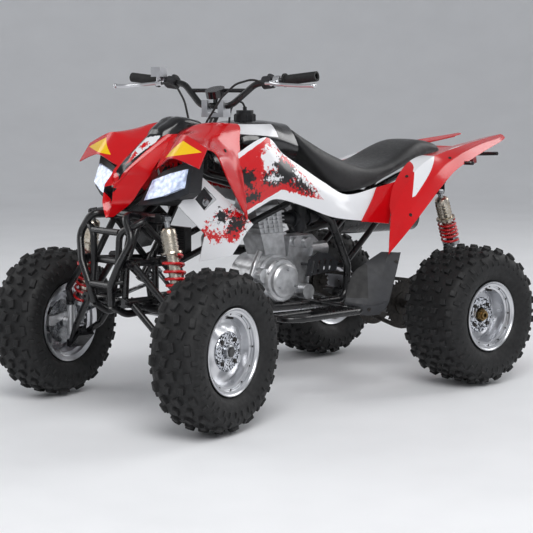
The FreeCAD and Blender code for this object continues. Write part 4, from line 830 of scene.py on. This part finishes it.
def coil(start, length, wire, turns):
    # a round wire wound about X, its ends wound close
    steps, sides = turns * shocks["turnSteps"], shocks["wireSteps"]
    vertices = []
    for k in range(steps + 1):
        share = k / steps
        angle = 2 * math.pi * turns * share
        x = start + length * (share + shocks["closing"] * math.sin(2 * math.pi * share) / math.pi)
        for i in range(sides):
            around = 2 * math.pi * i / sides
            r = shocks["coilRadius"] + wire * math.cos(around)
            vertices.append((x + wire * math.sin(around), r * math.sin(angle), r * math.cos(angle)))
    ends = [tuple(range(sides)), tuple(range((steps + 1) * sides - 1, steps * sides - 1, -1))]
    return vertices, ringFaces(steps + 1, sides, False) + ends


bodies, rods, coils = [], [], []
for top, foot in shocks["lines"]:
    kind = shocks["rear" if top[1] > 0 else "front"]
    length = (Vector(foot) - Vector(top)).length
    a, b = [share * length for share in kind["body"]]
    low, high = [share * length for share in kind["coil"]]
    thick, tube, rod = kind["radius"], shocks["tube"], shocks["rod"]
    # a domed end, the cooling ribs, the ring that holds the spring, and the tube inside it
    can = [(a, 0), (a, thick * 0.62), (a + 6, thick - 2), (a + 10, thick)]
    for k in range(shocks["ribs"]):
        x = a + (b - a) * (shocks["firstRib"] + shocks["ribStep"] * k)
        can += [(x + along, thick + rise) for along, rise in shocks["rib"]]
    can += [(b - 4, thick), (b - 4, thick + 9), (b + 3, thick + 10), (b + 3, tube), (high - 30, tube),
            (high - 30, 0)]
    bodies.append(onLine(lathe(can, 48), top, foot))
    eye = prism(*shocks["eye"], (-shocks["eye"][1] / 2, 0, 0), shocks["eyeHole"])
    rods += [moved(eye, Matrix.Translation(place) @ turned(90, "Z")) for place in (top, foot)]
    shaft = [(9, 0), (9, rod), (a, rod)] + [(high + x, r) for x, r in shocks["plate"]]
    shaft += [(length - 10, 12), (length - 10, 0)]
    rods.append(onLine(lathe(shaft, 40), top, foot))
    coils.append(onLine(coil(low + 4, high - low - 14, kind["wire"], kind["turns"]), top, foot))
addPiece("shockBodies", joined(bodies), nickel, ["shock_absorbers"], angle=35)
addPiece("shockShafts", joined(rods), brightSteel, angle=35)
addPiece("shockSprings", joined(coils), springSteel, ["shock_springs"], angle=60)

# Engine dress: the clutch cover's turned face and its bolts

dress = {"middle": (0, -38, 402), "face": 137,
         "rise": [(-3, 0), (1, 0), (1.5, 20), (1.5, 46), (0.5, 51), (-3, 51.5)],
         "bolt": (6.5, 6, 6), "washer": (8.5, 1.5, 24), "bolts": 8, "boltRing": 70, "boltFace": 110,
         "boltTurn": 22, "screw": (5, 5, 6), "screws": 3, "screwRing": 40}
middle = Matrix.Translation(dress["middle"])
cover = lathe([(dress["face"] + x, r) for x, r in dress["rise"]], 72)
addPiece("clutchFace", moved(cover, middle), castAluminium, angle=25)
head = joined([prism(*dress["bolt"], (dress["boltFace"], 0, dress["boltRing"])),
               prism(*dress["washer"], (dress["boltFace"] - 1, 0, dress["boltRing"]))])
screw = prism(*dress["screw"], (dress["face"], 0, dress["screwRing"]))
ring = joined([repeated(moved(head, turned(dress["boltTurn"])), dress["bolts"], 360 / dress["bolts"]),
               repeated(screw, dress["screws"], 360 / dress["screws"])])
addPiece("engineBolts", moved(ring, middle), brightSteel, angle=25)
print("shock absorbers and engine dress made")


# Seat

seat = {
    # y, half width, top, floor
    "stations": [(6, 120, 952, 900), (90, 138, 902, 812), (210, 152, 838, 704), (350, 156, 794, 708),
                 (480, 150, 806, 748), (600, 136, 856, 786), (680, 122, 880, 806), (770, 112, 866, 826),
                 (808, 100, 852, 806)],
    # roundings: at most so many millimetres, or such a share of the height
    "lift": (14, 0.25), "drop": (34, 0.45), "crown": 30, "steps": 5, "rake": 8,
    "shrink": 5, "voxel": 6, "pressure": 2.5, "frames": 20, "reach": 5, "tension": 60, "bending": 15,
    "smoothing": (0.7, 40)}


def seatShape():
    # closed rounded rings, capped at both ends
    rings = []
    for y, half, top, floor in seat["stations"]:
        narrow, low, high = half - seat["shrink"], floor + 3, top - seat["shrink"]
        lift, drop = [min(most, share * (high - low)) for most, share in (seat["lift"], seat["drop"])]
        side = [(narrow - 10, low), (narrow, low + lift), (narrow - 4, high - drop),
                (narrow - seat["crown"], high - drop * 0.18), (0, high)]
        rings.append([(x, y, z) for x, z in side + [(-x, z) for x, z in reversed(side[:-1])]])
    for ring, rake in ((0, seat["rake"]), (-1, -seat["rake"])):
        rings[ring] = [(x, y + rake, z) for x, y, z in rings[ring]]
    vertices, faces = skin(rings, seat["steps"], seat["steps"])
    around, tall = [(count - 1) * seat["steps"] + 1 for count in (len(rings[0]), len(rings))]
    last = (around - 1) * tall
    faces += [(k, k + 1, last + k + 1, last + k) for k in range(tall - 1)]
    faces.append(tuple(k * tall for k in range(around)))
    faces.append(tuple(k * tall + tall - 1 for k in reversed(range(around))))
    return vertices, faces


def makeSeat():
    # cut a little small, then blown up as cloth until the cover is tight
    mesh = newMesh("seatCover", inMetres(seatShape()))
    mend(mesh, 0.2)
    piece = newObject("seatCover", mesh)
    even = piece.modifiers.new("even", "REMESH")
    even.mode, even.voxel_size, even.use_smooth_shade = "VOXEL", seat["voxel"] * mm, True
    harden(piece)
    start = [v.co.copy() for v in piece.data.vertices]
    cloth = piece.modifiers.new("cover", "CLOTH")
    cloth.settings.quality = 5
    cloth.settings.mass = 0.4
    cloth.settings.tension_stiffness = cloth.settings.compression_stiffness = seat["tension"]
    cloth.settings.bending_stiffness = seat["bending"]
    cloth.settings.use_pressure = True
    cloth.settings.uniform_pressure_force = seat["pressure"]
    cloth.settings.effector_weights.gravity = 0.0
    cloth.collision_settings.use_collision = False
    cloth.point_cache.frame_start, cloth.point_cache.frame_end = 1, seat["frames"]
    scene = bpy.context.scene
    for number in range(1, seat["frames"] + 1):
        scene.frame_set(number)
    harden(piece)
    scene.frame_set(1)
    reach = seat["reach"] * mm
    for vertex, before in zip(piece.data.vertices, start):
        shift = vertex.co - before
        if shift.length > reach:
            vertex.co = before + shift.normalized() * reach
    relaxed = piece.modifiers.new("relaxed", "SMOOTH")
    relaxed.factor, relaxed.iterations = seat["smoothing"]
    smooth = piece.modifiers.new("smooth", "SUBSURF")
    smooth.levels = smooth.render_levels = 1
    harden(piece)
    piece.data.materials.clear()
    piece.data.materials.append(vinyl)
    shadeSmooth(piece.data)
    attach(piece, "body")
    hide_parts("seat")


makeSeat()
print("seat made")


# Studio, in metres: the bowl's section as radius and height, each lamp's place and power

studio = {"bowl": [(0, 0), (7.0, 0), (9.5, 0.25), (11.6, 1.4), (12.8, 3.6), (13.2, 7.0), (13.2, 9.0)],
          "steps": 96, "floor": ("#F0F1F3", "#F4F5F7"), "worldColour": "#E6E8EC", "worldStrength": 0.36,
          "lamps": [("key", (4.2, -3.2, 5.0), 300), ("fill", (-5.0, -3.0, 3.2), 90),
                    ("rim", (1.5, 5.5, 4.0), 150)],
          "lampSize": 4.0, "lampAim": (0, -0.1, 0.4)}


def lookAt(thing, place, aim):
    thing.location = place
    thing.rotation_euler = (Vector(aim) - Vector(place)).to_track_quat("-Z", "Y").to_euler()


def makeStudio():
    # a bowl: a flat floor that bends up into the backdrop, so no horizon shows
    side = smoothed(studio["bowl"], 6)
    vertices = []
    for k in range(studio["steps"]):
        angle = 2 * math.pi * k / studio["steps"]
        vertices += [(r * math.cos(angle), r * math.sin(angle), z) for r, z in side]
    mesh = newMesh("studioBowl", (vertices, ringFaces(studio["steps"], len(side), pointsClose=False)))
    mend(mesh, 0.1, inwards=True)
    shadeSmooth(mesh)
    # matt paint: even and pale
    mesh.materials.append(finish("matt studio paint", *studio["floor"], (0.55, 0.7), (400, 2, 0.02),
                                 edge=0))
    newObject("studioBowl", mesh)
    world = bpy.data.worlds.new("studio")
    world.use_nodes = True
    background = world.node_tree.nodes["Background"]
    background.inputs["Color"].default_value = linear(studio["worldColour"])
    background.inputs["Strength"].default_value = studio["worldStrength"]
    bpy.context.scene.world = world
    for name, spot, power in studio["lamps"]:
        light = bpy.data.lights.new(name, "AREA")
        light.energy = power
        light.size = studio["lampSize"]
        lookAt(newObject(name, light), spot, studio["lampAim"])


camera = {"place": (3.9335, -3.5948, 1.0725), "aim": (-0.1667, 0.0109, 0.4118), "lens": 99.54, "sensor": 36}
makeStudio()
lens = bpy.data.cameras.new("camera")
lens.lens, lens.sensor_width = camera["lens"], camera["sensor"]
eye = newObject("camera", lens)
lookAt(eye, camera["place"], camera["aim"])
bpy.context.scene.camera = eye
bpy.context.scene.view_settings.view_transform = "Standard"
print("studio and camera made")
